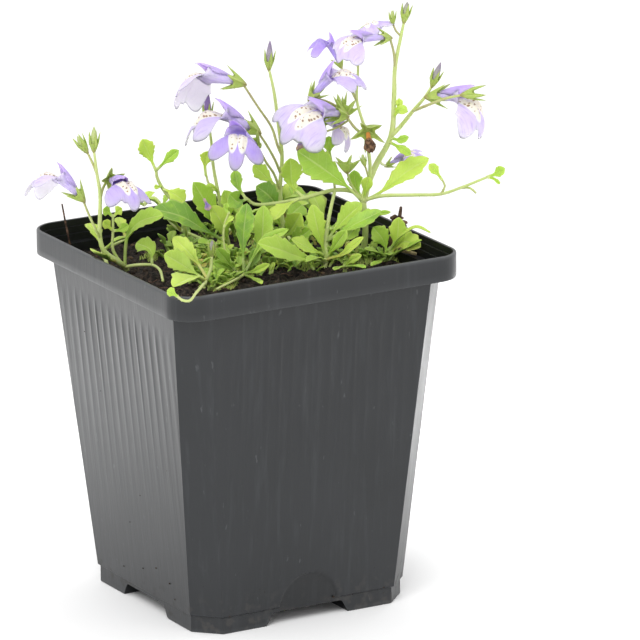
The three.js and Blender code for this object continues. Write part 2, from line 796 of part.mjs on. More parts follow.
addNode('pot', pot(), COLOURS.pot, 0.45);

// Left-hand crown with two flowers and two buds
spray('spray_left', [
  rooted([ground(126, 269), [118, 262, -4], [104, 251, -8], [100, 238, -9], [100, 215, -9],
    [100, 193, -9], [97, 174, -9], [94, 151, -9]], 2.2, 0.8),
  stem([[97, 174, -9], [93, 164, -8.5], [87, 152, -8]], 0.9, 0.7),
  stem([[100, 238, -9], [96, 230, -12], [89, 215, -14], [83, 200, -16]], 0.9, 0.7),
  stem([[100, 200, -9], [103, 188, -6], [108, 179, -4]], 0.9, 0.8),
  calyx(FLOWERS.a),
  calyx(FLOWERS.c, 1.3),
  bud([94, 151, -9], [94, 126, -9]),
  bud([87, 152, -8], [77, 136, -8]),
  leaf([[118, 262, -4], [106, 258, -10], [91, 250, -16]], 5.5, SKYWARD),
  stem([[125, 268, -1], [113, 250, -3], [113, 232, -3], [113, 215, -3]], 1.1, 0.8),
  leaf([[113, 217, -3], [109, 213, -3], [103, 209, -4]], 3.4),
  leaf([[113, 217, -3], [117, 213, -3], [122, 208, -4]], 3.4),
  leaf([[113, 231, -3], [108, 226, -4], [103, 221, -5]], 3.2),
  leaf([[113, 231, -3], [120, 230, -4], [129, 225, -5]], 3.2),
  leaf([[125, 267, -1], [128, 236, -3], [140, 222, -4], [164, 215, -5]], 7, [-0.5, 0.8, 0.6], 4, 0.35),
  stem([[125, 267, -1], [138, 265, -4], [152, 265, -5], [159, 269, -8], [163, 281, -17]], 1.1, 0.9),
  leaf([[152, 265, -5], [150, 250, -2], [136, 243, 0]], 6.5, [0.4, 0.6, 0.7]),
]);

spray('spray_left_back', [
  rooted([ground(186, 246), [184, 225, 20], [174, 203, 21], [163, 189, 22], [157, 177, 22], [156, 168, 22]],
    1.6, 0.9),
  leaf([[156, 171, 22], [150, 157, 22], [142, 139, 21]], 5.4, TO_VIEWER, 4),
  leaf([[157, 170, 22], [164, 163, 21], [179, 150, 20]], 3.6),
  leaf([[163, 189, 22], [174, 194, 19], [185, 202, 18]], 5.4),
  leaf([[161, 186, 22], [158, 187, 21], [154, 187, 21]], 1.6, TO_VIEWER, 1),
  leaf([[184, 225, 20], [176, 218, 22], [166, 212, 25]], 5),
]);

spray('spray_mid_left', [
  rooted([ground(229, 252), [228, 243, 15], [224, 224, 16], [218, 192, 17], [213, 164, 18], [211, 139, 18],
    [208, 121, 18]], 1.7, 0.7),
  bud([208, 121, 18], [207, 87, 18]),
  stem([[218, 192, 17], [209, 184, 18], [206, 174, 20]], 0.8, 0.7),
  leaf([[206, 176, 19.5], [205, 165, 20], [208, 151, 20]], 4, TO_VIEWER, 3, 0.3),
  leaf([[210, 132, 18], [203, 127, 17.5], [195, 125, 17]], 2.6, TO_VIEWER, 1),
  leaf([[228, 243, 15], [206, 231, 11], [182, 217, 8], [153, 209, 6]], 8.5, [-0.1, 0.8, 0.6], 4, 0.2),
  leaf([[228, 243, 15], [216, 222, 13], [204, 200, 12], [193, 182, 11]], 7.6, [0.2, 0.5, 0.8], 4, 0.2),
  leaf([[228, 245, 15], [223, 226, 10], [211, 206, 9]], 7, [0.3, 0.5, 0.8], 4),
  leaf([[224, 224, 16], [229, 208, 14], [224, 190, 14]], 5.4, [0.4, 0.4, 0.8], 3),
  leaf([[218, 192, 17], [213, 188, 15], [205, 189, 14]], 3),
  leaf([[228, 246, 15], [215, 244, 8], [198, 243, 3]], 5, SKYWARD),
]);

spray('raceme_left', [
  rooted([ground(282, 254), [282, 240, 14.5], [282, 225, 15], [280, 190, 16], [282, 156, 16], [278, 122, 15],
    [274, 92, 15], [269, 69, 15]], 2, 0.8),
  stem([[282, 156, 16], [277, 144, 15], [272, 128, 15], [258, 107, 13], [243, 84, 12]], 0.9, 0.7),
  stem([[280, 172, 16], [275, 160, 14], [266, 144, 11], [258, 132, 9]], 0.9, 0.7),
  stem([[280, 190, 16], [274, 174, 13], [266, 162, 9], [258, 147, 6]], 0.9, 0.7),
  calyx(FLOWERS.l),
  calyx(FLOWERS.o),
  calyx(FLOWERS.p),
  bud([269, 69, 15], [270, 40, 15]),
  leaf([[280, 190, 16], [266, 177, 18], [253, 165, 19]], 5),
  leaf([[282, 214, 15], [270, 197, 12], [256, 186, 11]], 7.4, [-0.2, 0.6, 0.7], 4),
  leaf([[282, 225, 15], [291, 215, 18], [302, 205, 22]], 7),
  leaf([[282, 228, 15], [274, 216, 12], [262, 207, 11]], 7, TO_VIEWER, 4),
  leaf([[282, 240, 14.5], [292, 228, 10], [301, 213, 8]], 7, TO_VIEWER, 4),
  leaf([[282, 242, 14], [268, 236, 9], [250, 232, 6]], 6.4, SKYWARD, 3),
  leaf([[282, 246, 14], [296, 240, 9], [311, 229, 6]], 6, TO_VIEWER, 3),
  leaf([[282, 247, 14], [270, 248, 6], [262, 253, -2]], 5, SKYWARD),
]);

// Centre and right: the crown whose runners arch out to both sides, and its racemes
spray('spray_right', [
  rooted([ground(362, 257), [365, 240, 10], [365, 220, 10], [363, 200, 10]], 2, 2),
  stem([[363, 202, 10], [354, 192, 9.5], [335, 190, 9], [304, 198, 8], [270, 204, 7], [254, 204, 6.5],
    [246, 198, 6]], 1.5, 1),
  rooted([ground(325, 268), [326, 258, 0], [326, 242, 3], [329, 217, 6], [335, 190, 9]], 1.5, 1.1),
  leaf([[247, 199, 6], [238, 202, 3], [229, 194, 1]], 6.4),
  leaf([[246, 199, 6], [238, 186, 8], [235, 170, 10]], 3.8),
  leaf([[304, 198, 8], [293, 186, 12], [290, 158, 12]], 7, [0.2, 0.4, 0.9], 4, 0.25),
  leaf([[299, 199, 8], [284, 208, 3], [272, 221, -1]], 5.6, [-0.3, 0.8, 0.5]),
  leaf([[362, 201, 10], [346, 186, 7], [322, 168, 5], [297, 151, 4]], 10, [0.1, 0.5, 0.9], 4, 0.25),
  leaf([[364, 202, 10], [384, 190, 12], [404, 174, 14], [429, 158, 16]], 7.4, [-0.2, 0.7, 0.7], 4, 0.2),
  leaf([[326, 242, 3], [350, 227, 1], [382, 211, 1]], 5.6, [-0.2, 0.7, 0.7], 4, 0.2),
  leaf([[326, 242, 3], [340, 224, 5], [362, 203, 5]], 6.6, [-0.2, 0.5, 0.8], 4, 0.2),
  leaf([[326, 258, 0], [335, 246, -3], [347, 230, -4]], 4),
  leaf([[326, 260, 0], [343, 254, -5], [364, 237, -8]], 3.4, [-0.5, 0.6, 0.6]),
  leaf([[326, 258, 0], [319, 234, -3], [312, 204, -3]], 5.6, TO_VIEWER, 4),
  leaf([[326, 256, 0.5], [312, 250, -4], [291, 239, -5]], 5.4, [0.2, 0.8, 0.5], 4),
  leaf([[326, 262, -0.5], [303, 258, -9], [280, 250, -15], [257, 243, -18]], 8, [0.1, 0.7, 0.7], 4, 0.2),
  leaf([[326, 261, 0], [316, 258, -10], [306, 262, -16]], 3.4, SKYWARD),
  leaf([[326, 242, 3], [317, 228, 8], [303, 224, 13]], 5, TO_VIEWER),
  leaf([[363, 200, 10], [356, 186, 13], [354, 170, 14]], 4.6),
  leaf([[365, 220, 10], [356, 226, 5], [346, 240, 1]], 4.6, [0.3, 0.7, 0.6]),
  leaf([[365, 220, 10], [378, 214, 8], [391, 212, 7]], 1.6, TO_VIEWER, 1),
  stem([[335, 190, 9], [333, 172, 12], [331, 158, 12]], 0.8, 0.7),
  leaf([[331, 160, 12], [329, 149, 12], [329, 136, 12]], 4.6, TO_VIEWER, 3, 0.25),
  stem([[364, 200, 10], [380, 196, 10], [415, 195, 8], [441, 194, 5], [460, 188, 2.5], [490, 176, -1]],
    1.3, 0.8),
  leaf([[487, 177, -0.7], [496, 174, -1], [505, 168, -2]], 3.4, TO_VIEWER, 2, 0.15),
  leaf([[487, 177, -0.7], [494, 179, -1], [500, 184, -1]], 1.2, TO_VIEWER, 1),
  stem([[460, 188, 2.5], [470, 188, 2], [476, 193, 2]], 0.8, 0.6),
  stem([[441, 194, 5], [445, 186, 5], [441, 178, 5]], 0.8, 0.6),
  leaf([[442, 180, 5], [437, 173, 5], [429, 164, 5]], 3.2, TO_VIEWER, 2, 0.15),
  stem([[363, 202, 10], [369, 181, 11], [376, 165, 12], [391, 136, 12], [394, 98, 12], [395, 68, 12],
    [401, 36, 12], [404, 22, 12]], 2.4, 0.8),
  bud([404, 22, 12], [407.5, 1.5, 12.5]),
  stem([[401, 36, 12], [396, 31, 12], [393, 24, 12]], 0.7, 0.6),
  bud([393, 24, 12], [392, 10, 12], 0.7),
  stem([[395, 68, 12], [394, 54, 11], [390, 38, 9]], 0.9, 0.7),
  calyx(FLOWERS.t),
  stem([[391, 136, 12], [400, 127, 12], [413, 111, 9], [425, 97, 6], [432, 86, 5]], 1.6, 0.8),
  bud([432, 86, 5], [441, 62, 4]),
  stem([[425, 97, 6], [428, 97, 5]], 1, 0.8),
  calyx(FLOWERS.y),
  stem([[413, 111, 9], [428, 105, 2], [447, 98, -1], [463, 95, -2]], 1, 0.8),
  emptyCalyx([463, 95, -2], [488, 92, -3], 1.05, 0.3),
  leaf([[394, 112, 12], [399, 106, 11], [399, 98, 11]], 2.2, TO_VIEWER, 1),
  leaf([[393, 118, 12], [400, 110, 10], [408, 112, 9]], 3, TO_VIEWER, 1),
  leaf([[391, 138, 12], [400, 140, 9], [409, 137, 8]], 2.6),
  leaf([[389, 142, 12], [400, 148, 9], [411, 155, 9]], 2.8),
  stem([[365, 197, 10.5], [369, 181, 8.5], [370, 165, 8], [366, 136, 8.3], [364, 126, 8.5], [357, 101, 9],
    [358, 70, 13], [358, 33, 21]], 1.3, 0.7),
  calyx(FLOWERS.v, 0.55),
  stem([[357, 101, 9], [350, 87, 10.5], [341, 67, 13]], 0.9, 0.7),
  calyx(FLOWERS.u),
  stem([[366, 136, 8.3], [356, 129, 8], [346, 116, 8]], 1, 0.8),
  calyx(FLOWERS.q, 1.2),
  stem([[349, 120, 8], [336, 106, 10], [322, 100, 9], [310, 99, 7]], 0.8, 0.7),
  calyx(FLOWERS.s),
  stem([[349, 120, 8], [340, 114, 17], [328, 114, 21], [322, 119, 21]], 0.8, 0.7),
  calyx(FLOWERS.r),
  emptyCalyx([342, 113, 10.5], [333, 94, 11], 0.95, 1.2),
  emptyCalyx([345, 115, 10], [353, 96, 12], 0.9, 1.2),
  stem([[364, 126, 8.5], [367, 128, 7]], 0.8, 0.7),
  emptyCalyx([367, 128, 7], [369, 139, 2], 1, 1.9),
  stem([[349, 120, 8], [336, 128, 9.5], [324, 132, 9]], 0.7, 0.6),
  emptyCalyx([324, 132, 9], [312, 138, 8], 0.8, 0.6),
  leaf([[364, 199, 10], [366, 188, 8], [369, 176, 7]], 3.6, TO_VIEWER, 1),
  stem([[362, 200, 10], [351, 184, 8.5], [347, 171, 7]], 0.8, 0.7),
  emptyCalyx([347, 171, 7], [347, 158, 7], 0.8, 1.8),
  stem([[369, 181, 8.5], [367, 172, 6], [365, 166, 5]], 0.7, 0.6),
  bud([365, 166, 5], [362, 154, 5], 0.6),
  stem([[379, 160, 12], [382, 164, 18], [386, 166, 24]], 0.9, 0.7),
  calyx(FLOWERS.z),
]);

spray('spray_front', [
  rooted([ground(244, 278), [244, 272, -11]], 2, 1.6),
  leaf([[244, 275, -11], [243, 243, -10], [247, 203, -9]], 6, TO_VIEWER, 4, 0.25),
  leaf([[244, 275, -11], [253, 262, -8], [258, 247, -7]], 3.8),
  leaf([[244, 275, -11], [260, 248, -4], [264, 205, -1]], 6.4, TO_VIEWER, 4, 0.3),
  leaf([[244, 274, -11], [264, 242, -8], [289, 229, -8]], 3.4),
  leaf([[244, 274, -11], [258, 270, -16], [270, 264, -18]], 2.6),
  leaf([[244, 275, -11], [256, 280, -20], [262, 284, -27]], 2.4, SKYWARD),
  stem([[244, 275, -11], [235, 271, -12], [228, 260, -13], [224, 244, -13], [224, 227, -13], [229, 212, -13]],
    0.9, 0.7),
  leaf([[224, 227, -13], [229, 220, -13], [234, 217, -13]], 1.8, TO_VIEWER, 1),
  leaf([[229, 214, -13], [226, 209, -13], [227, 203, -13]], 1.8, TO_VIEWER, 1),
  leaf([[235, 271, -12], [224, 266, -14], [213, 262, -15]], 3),
  leaf([[235, 271, -12], [227, 261, -15], [216, 248, -17]], 3.8),
  stem([[244, 275, -11], [233, 281, -22], [217, 289, -32]], 1, 0.8),
]);

spray('spray_front_left', [
  rooted([ground(204, 286), [207, 279, -20], [211, 268, -20], [212, 255, -20]], 1.6, 0.8),
  bud([212, 256, -20], [212, 240, -20], 0.8),
  stem([[206, 281, -20], [205, 284, -36], [203, 285, -52], [196, 293, -62], [189, 301, -66], [182, 300, -66],
    [177, 296, -65]], 1, 0.8),
  leaf([[178, 297, -65], [174, 294, -65], [167, 290, -65]], 3, TO_VIEWER, 2, 0.1),
  leaf([[206, 281, -20], [195, 277, -34], [184, 281, -48], [173, 287, -56]], 7.6, [0, 0.9, 0.4], 4),
  leaf([[206, 281, -20], [184, 266, -18], [164, 254, -18]], 7.4, [0, 0.7, 0.7], 4),
  leaf([[207, 278, -20], [192, 256, -10], [173, 237, -6]], 5.6, TO_VIEWER, 4, 0.35),
]);

spray('rosette_right', [
  rooted([ground(385, 263), [387, 258, 5], [388, 252, 5]], 1.8, 1.4),
  leaf([[387, 258, 5], [396, 242, 3], [399, 217, 2]], 5.4, TO_VIEWER, 3, 0.25),
  leaf([[387, 258, 5], [384, 242, 4], [373, 227, 3]], 6, TO_VIEWER, 4, 0.25),
  leaf([[387, 257, 5], [403, 242, 2], [421, 247, -2]], 6, TO_VIEWER, 4),
  leaf([[387, 258, 5], [404, 249, 0], [422, 240, -4]], 3.4, SKYWARD),
  leaf([[387, 258, 5], [376, 252, 1], [364, 249, -1]], 3.6, SKYWARD),
  leaf([[387, 258, 5], [388, 254, -1], [390, 255, -8]], 3, SKYWARD),
  leaf([[387, 258, 5], [379, 262, -4], [371, 266, -11]], 2.4, SKYWARD),
  leaf([[388, 253, 5], [401, 236, 0], [416, 227, -1], [431, 233, -2]], 1.6, SKYWARD, 1),
]);

spray('sprout_front', [
  rooted([ground(345, 272), [345, 266, -6]], 1.4, 1.2),
  leaf([[345, 267, -6], [352, 260, -10], [362, 255, -12]], 2.6),
  leaf([[345, 267, -6], [338, 268, -12], [334, 270, -17]], 2.4, SKYWARD),
  leaf([[345, 267, -6], [356, 266, -13], [366, 268, -18]], 2.4, SKYWARD),
]);

// Dried flowers, litter and fallen petals
addNode('withered_x', withered([367, 128, 7], [369, 139, 2], 1, 8.5), COLOURS.brown, 0.85);
addNode('withered_q', withered([324, 132, 9], [312, 138, 8], 0.8, 8.5), COLOURS.violet, 0.8);
addNode(
  'fallen_petal_low',
  leaf([[204, 199, 9], [207, 205, 8], [209, 211, 7]], 2.2, TO_VIEWER, 1),
  COLOURS.violet,
);
addNode(
  'needle',
  rooted([ground(72, 256), [69, 240, 12], [65, 220, 12], [62, 204, 12]], 0.9, 0.6),
  COLOURS.brown,
);
addNode('stick', stem([[399, 250, 6], [416, 254, 2]], 1.3, 1.1), COLOURS.straw);

const crumbs = seededRandom(7);
addNode('bark_chip', fuse([
  rooted([ground(386, 258), [393, 238, 8], [399, 220, 7], [401, 207, 7]], 2, 2.6),
  ...[[398, 227, 7], [394, 219, 8], [404, 222, 6]].map((place) => lump(place, 2.2, crumbs)),
]), COLOURS.brown, 0.95);

// Creeping shoots of the far side: a stem along the soil with a pair of leaves at each joint
const spot = (x, y, z) => new THREE.Vector3(x, y, z);
const JOINT_LENGTH = 10;

function creeper(name, route, leafLong, seed) {
  const random = seededRandom(seed);
  const curve = new THREE.CatmullRomCurve3(route);
  const joints = Math.max(2, Math.round(curve.getLength() / JOINT_LENGTH));
  const parts = [rooted(route, 1.4, 0.9)];
  for (let k = 1; k <= joints; k += 1) {
    const node = curve.getPointAt(k / joints);
    const along = curve.getTangentAt(k / joints);
    const level = new THREE.Vector3().crossVectors(UP, along).normalize();
    for (const side of [-1, 1]) {
      const long = leafLong * (0.8 + 0.4 * random());
      const out = level.clone().multiplyScalar(side * (0.75 + 0.3 * random()))
        .addScaledVector(along, 0.35 + 0.3 * random())
        .addScaledVector(UP, 0.5 + 0.4 * random())
        .normalize();
      const middle = node.clone().addScaledVector(out, long * 0.55).addScaledVector(UP, long * 0.1);
      const end = node.clone().addScaledVector(out, long).addScaledVector(UP, -long * 0.02);
      parts.push(blade([node.clone(), middle, end], long * 0.5, UP, 2, 0.15));
    }
  }
  spray(name, parts);
}

const LOW = SOIL_TOP + 1.6;
const MID = LOW + 1;
const HIGH = LOW + 2;
creeper('creeper_rear_left', [spot(-33, 20, LOW), spot(-30, 28, MID), spot(-20, 33, HIGH)], 9, 11);
creeper('creeper_rear', [spot(8, 27, LOW), spot(17, 33, MID), spot(28, 34, HIGH)], 9, 23);
creeper('creeper_rear_right', [spot(35, 24, LOW), spot(35, 15, MID), spot(34, 5, HIGH)], 8, 31);
creeper('creeper_middle', [spot(20, 9, LOW), spot(22, 15, MID), spot(24, 22, HIGH)], 9, 47);
creeper('trailer_rear', [spot(0, 22, LOW), spot(-4, 34, 98), spot(-5, 44, 104), spot(-6, 48, 101)], 6, 53);

addNode('soil', soil(), COLOURS.soil, 0.95);

for (const [key, flower] of Object.entries(FLOWERS)) {
  addNode(`flower_${key}`, corolla(flower), COLOURS.violet, 0.6);
}

export default group;
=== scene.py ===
# Creeping mazus in flower, growing in a ribbed square nursery pot.
# Places and sizes are in millimetres, as in the part; meshes are made in metres.
import math

import bmesh
import bpy
from mathutils import Matrix, Vector, noise


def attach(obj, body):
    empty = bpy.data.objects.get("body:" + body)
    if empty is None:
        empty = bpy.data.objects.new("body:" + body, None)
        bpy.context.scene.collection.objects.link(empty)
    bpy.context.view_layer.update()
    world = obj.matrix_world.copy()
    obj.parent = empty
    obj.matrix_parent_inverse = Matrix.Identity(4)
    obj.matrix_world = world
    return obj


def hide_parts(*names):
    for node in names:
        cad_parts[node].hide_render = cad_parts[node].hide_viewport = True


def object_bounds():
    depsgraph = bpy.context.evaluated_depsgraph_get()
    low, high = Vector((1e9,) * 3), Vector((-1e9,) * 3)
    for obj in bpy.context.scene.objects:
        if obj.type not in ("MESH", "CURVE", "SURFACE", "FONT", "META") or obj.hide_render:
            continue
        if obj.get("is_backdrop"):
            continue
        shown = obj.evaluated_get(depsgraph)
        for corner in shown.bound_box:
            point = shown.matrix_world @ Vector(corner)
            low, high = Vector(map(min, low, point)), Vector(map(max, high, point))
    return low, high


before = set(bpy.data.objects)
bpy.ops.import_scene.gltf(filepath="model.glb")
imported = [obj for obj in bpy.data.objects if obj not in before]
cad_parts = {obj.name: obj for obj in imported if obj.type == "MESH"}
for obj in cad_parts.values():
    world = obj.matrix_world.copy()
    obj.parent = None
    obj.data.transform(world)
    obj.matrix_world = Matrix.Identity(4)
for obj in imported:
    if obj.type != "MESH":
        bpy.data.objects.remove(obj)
cad_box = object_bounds()

METRE = 0.001
UP = Vector((0, 0, 1))

# Pot
RIM_HALF = 45
POT_HEIGHT = 101.4
BAND_HEIGHT = 7.2
BAND_CORNER = 8
BODY_TOP_SIDE = 83.8
BODY_FOOT_SIDE = 67.6
CHAMFER = 6.6
WALL = 1.2
FOOT_STEP = 4.7
FOOT_INSET = 0.5
FOOT_HALF = BODY_FOOT_SIDE / 2 - FOOT_INSET
FLOOR_TOP = 5.2
NOTCH_WIDE = 23
NOTCH_HIGH = 3.7
DRAIN_RADIUS = 3.5
DRAIN_REACH = 18
DRAIN_SIDES = 24
RIB_COUNT = 17
RIB_PITCH = 3.9
RIB_PROUD = 0.22
RIB_HALF = 0.9
RIB_TOP = 88
RIB_FOOT = 16
ARCH_RADIUS = 9
ARCH_DEPTH = 0.45
BAND_FOOT = POT_HEIGHT - BAND_HEIGHT
LEDGE_TOP = BAND_FOOT + WALL

# Soil and what lies on it
SOIL_TOP = 93
SOIL_RELIEF = 0.9
SOIL_CELLS = 150
ROOT_DEPTH = 5
CRUMB_COUNT = 620
FIBRE_COUNT = 70
LUMP_SIDES = 7

# Leaves, stems, calyces and corollas
BLADE_THICK = 0.42
BLADE_FOLD = 0.3
TOOTH_DEPTH = 0.24
TOOTH_START = 0.25
GROOVE_DEPTH = 0.16
GROOVE_HALF = 0.11
PETIOLE_HALF = 0.4
STEM_SLIM = 0.88
STEM_STEP = 1.3
HAIR_LONG = 0.55
HAIR_HALF = 0.05
HAIRS_FROM = 99
CALYX_CUP = 2.7
CALYX_LOBE = 6.6
CALYX_HEEL = 1.2
CUP_SIDES = 50
CUP_HAIRS = 46
BUD_CALYX = 0.85
BUD_SIDES = 14
BUD_RINGS = 13
LIP_LENGTH = 12
LIP_THICK = 0.4
LIP_SUNK = 0.6
LIP_HAIRS = 44
RIDGE_ACROSS = 1.25
RIDGE_ALONG = 3.6
TUBE_SIDES = 24
WILTED = 1.5

# The reference picture's view: the plant's places are read across and down it in
# pixels, with a third number for the millimetres behind the pot's axis.
PICTURE_SIDE = 640
VIEW_AZIMUTH = math.radians(-29.22)
VIEW_ELEVATION = math.radians(15.98)
VIEW_ROLL = math.radians(-0.66)
VIEW_DISTANCE = 2127.9
VIEW_FOCUS = 7622
VIEW_AIM_HEIGHT = 50
VIEW_AIM_RIGHT = 20.23
VIEW_AIM_UP = 27.02
SENSOR_WIDTH = 36

back = Vector((
    math.sin(VIEW_AZIMUTH) * math.cos(VIEW_ELEVATION),
    -math.cos(VIEW_AZIMUTH) * math.cos(VIEW_ELEVATION),
    math.sin(VIEW_ELEVATION),
))
level = UP.cross(back).normalized()
rise = back.cross(level)
view_right = level * math.cos(VIEW_ROLL) + rise * math.sin(VIEW_ROLL)
view_up = rise * math.cos(VIEW_ROLL) - level * math.sin(VIEW_ROLL)
eye = UP * VIEW_AIM_HEIGHT + back * VIEW_DISTANCE + view_right * VIEW_AIM_RIGHT + view_up * VIEW_AIM_UP
away = Vector((-back.x, -back.y, 0)).normalized()


def sight_line(x, y):
    """Direction from the eye through a pixel of the picture."""
    middle = PICTURE_SIDE / 2
    return view_right * (x - middle) + view_up * (middle - y) - back * VIEW_FOCUS


def seen(place):
    """Point seen at a pixel, a given distance behind the pot's axis; a point stays itself."""
    if isinstance(place, Vector):
        return place.copy()
    x, y, depth = place
    line = sight_line(x, y)
    return eye + line * ((depth - eye.dot(away)) / line.dot(away))


def ground(x, y):
    """Pixel and distance of the point of the soil's surface that is seen there."""
    line = sight_line(x, y)
    point = eye + line * ((SOIL_TOP - eye.z) / line.z)
    return [x, y, point.dot(away)]


def facing(direction):
    """Direction given as right, up and towards the viewer."""
    right, up, toward = direction
    return (level * right + UP * up - away * toward).normalized()


def seeded_random(seed):
    factor, prime = 16807, 2147483647
    state = seed

    def following():
        nonlocal state
        state = (state * factor) % prime
        return state / prime

    return following


def clamp(value, low, high):
    return min(max(value, low), high)


def smooth(low, high, value):
    share = clamp((value - low) / (high - low), 0, 1)
    return share * share * (3 - 2 * share)


def lerp(a, b, share):
    return a + (b - a) * share


def round_angles(count):
    return [i / count * math.tau for i in range(count)]


def around(side, other, angle):
    """Direction at an angle in the plane of two others."""
    return side * math.cos(angle) + other * math.sin(angle)


def cross_axes(axis):
    side = axis.cross(back).normalized()
    return side, axis.cross(side)


class Curve:
    """Centripetal Catmull-Rom curve through points."""

    STEPS = 120

    def __init__(self, points):
        self.points = [Vector(p) for p in points]
        places = [self.at(i / self.STEPS) for i in range(self.STEPS + 1)]
        self.reach = [0]
        for one, two in zip(places, places[1:]):
            self.reach.append(self.reach[-1] + (two - one).length)
        self.length = self.reach[-1]

    def at(self, t):
        points = self.points
        last = len(points) - 1
        place = clamp(t, 0, 1) * last
        i = min(int(place), last - 1)
        share = place - i
        p1, p2 = points[i], points[i + 1]
        p0 = points[i - 1] if i > 0 else points[0] * 2 - points[1]
        p3 = points[i + 2] if i + 2 <= last else points[last] * 2 - points[last - 1]
        d0, d1, d2 = [math.sqrt((b - a).length) for a, b in ((p0, p1), (p1, p2), (p2, p3))]
        m1 = ((p1 - p0) / d0 - (p2 - p0) / (d0 + d1) + (p2 - p1) / d1) * d1
        m2 = ((p2 - p1) / d1 - (p3 - p1) / (d1 + d2) + (p3 - p2) / d2) * d1
        square = share * share
        cube = square * share
        return (
            p1 + m1 * share
            + ((p2 - p1) * 3 - m1 * 2 - m2) * square
            + ((p1 - p2) * 2 + m1 + m2) * cube
        )

    def along(self, t):
        small = 0.001
        return (self.at(min(1, t + small)) - self.at(max(0, t - small))).normalized()

    def place(self, share):
        """Curve parameter at a share of the curve's length."""
        want = clamp(share, 0, 1) * self.length
        for i in range(self.STEPS):
            if self.reach[i + 1] >= want:
                part = (want - self.reach[i]) / max(1e-9, self.reach[i + 1] - self.reach[i])
                return (i + part) / self.STEPS
        return 1


def show(name, mesh, material, nodes=()):
    """Object for a finished mesh, in place of the nodes that it stands for."""
    mesh.materials.append(material)
    made = bpy.data.objects.new(name, mesh)
    bpy.context.scene.collection.objects.link(made)
    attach(made, "root")
    if nodes:
        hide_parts(*nodes)
    return made


class Form:
    """Points, faces and per-point values of one piece: organ holds three numbers, kind one."""

    def __init__(self):
        self.points = []
        self.faces = []
        self.organ = []
        self.kind = []

    def add(self, point, organ=(0, 0, 0), kind=0):
        self.points.append(point)
        self.organ.append(organ)
        self.kind.append(kind)
        return len(self.points) - 1

    def skin(self, rings):
        """Skin over rings of (point, organ, kind) of one length; a ring of one point is a tip."""
        rows = [[self.add(*spot) for spot in ring] for ring in rings]
        for low, high in zip(rows, rows[1:]):
            sides = max(len(low), len(high))
            for i in range(sides):
                j = (i + 1) % sides
                if len(low) == 1:
                    self.faces.append((low[0], high[j], high[i]))
                elif len(high) == 1:
                    self.faces.append((low[i], low[j], high[0]))
                else:
                    self.faces.append((low[i], low[j], high[j], high[i]))
        return rows

    def spike(self, foot, direction, half, organ=(0, 0, 0), kind=0):
        """Thin three-sided point, such as a hair."""
        side = direction.orthogonal().normalized() * half
        other = direction.cross(side).normalized() * half
        base = [foot + side, foot - side * 0.5 + other * 0.87, foot - side * 0.5 - other * 0.87]
        spots = [self.add(p, organ, kind) for p in base]
        tip = self.add(foot + direction, organ, kind)
        for i in range(3):
            self.faces.append((spots[i], spots[(i + 1) % 3], tip))

    def piece(self, name, material, slot, nodes=()):
        mesh = bpy.data.meshes.new(name)
        mesh.from_pydata([p * METRE for p in self.points], [], self.faces)
        organ = mesh.attributes.new("organ", "FLOAT_VECTOR", "POINT")
        organ.data.foreach_set("vector", [v for spot in self.organ for v in spot])
        kind = mesh.attributes.new("kind", "FLOAT", "POINT")
        kind.data.foreach_set("value", self.kind)
        mesh.validate()
        mesh.polygons.foreach_set("use_smooth", [True] * len(mesh.polygons))
        return show(name, mesh, material, nodes)


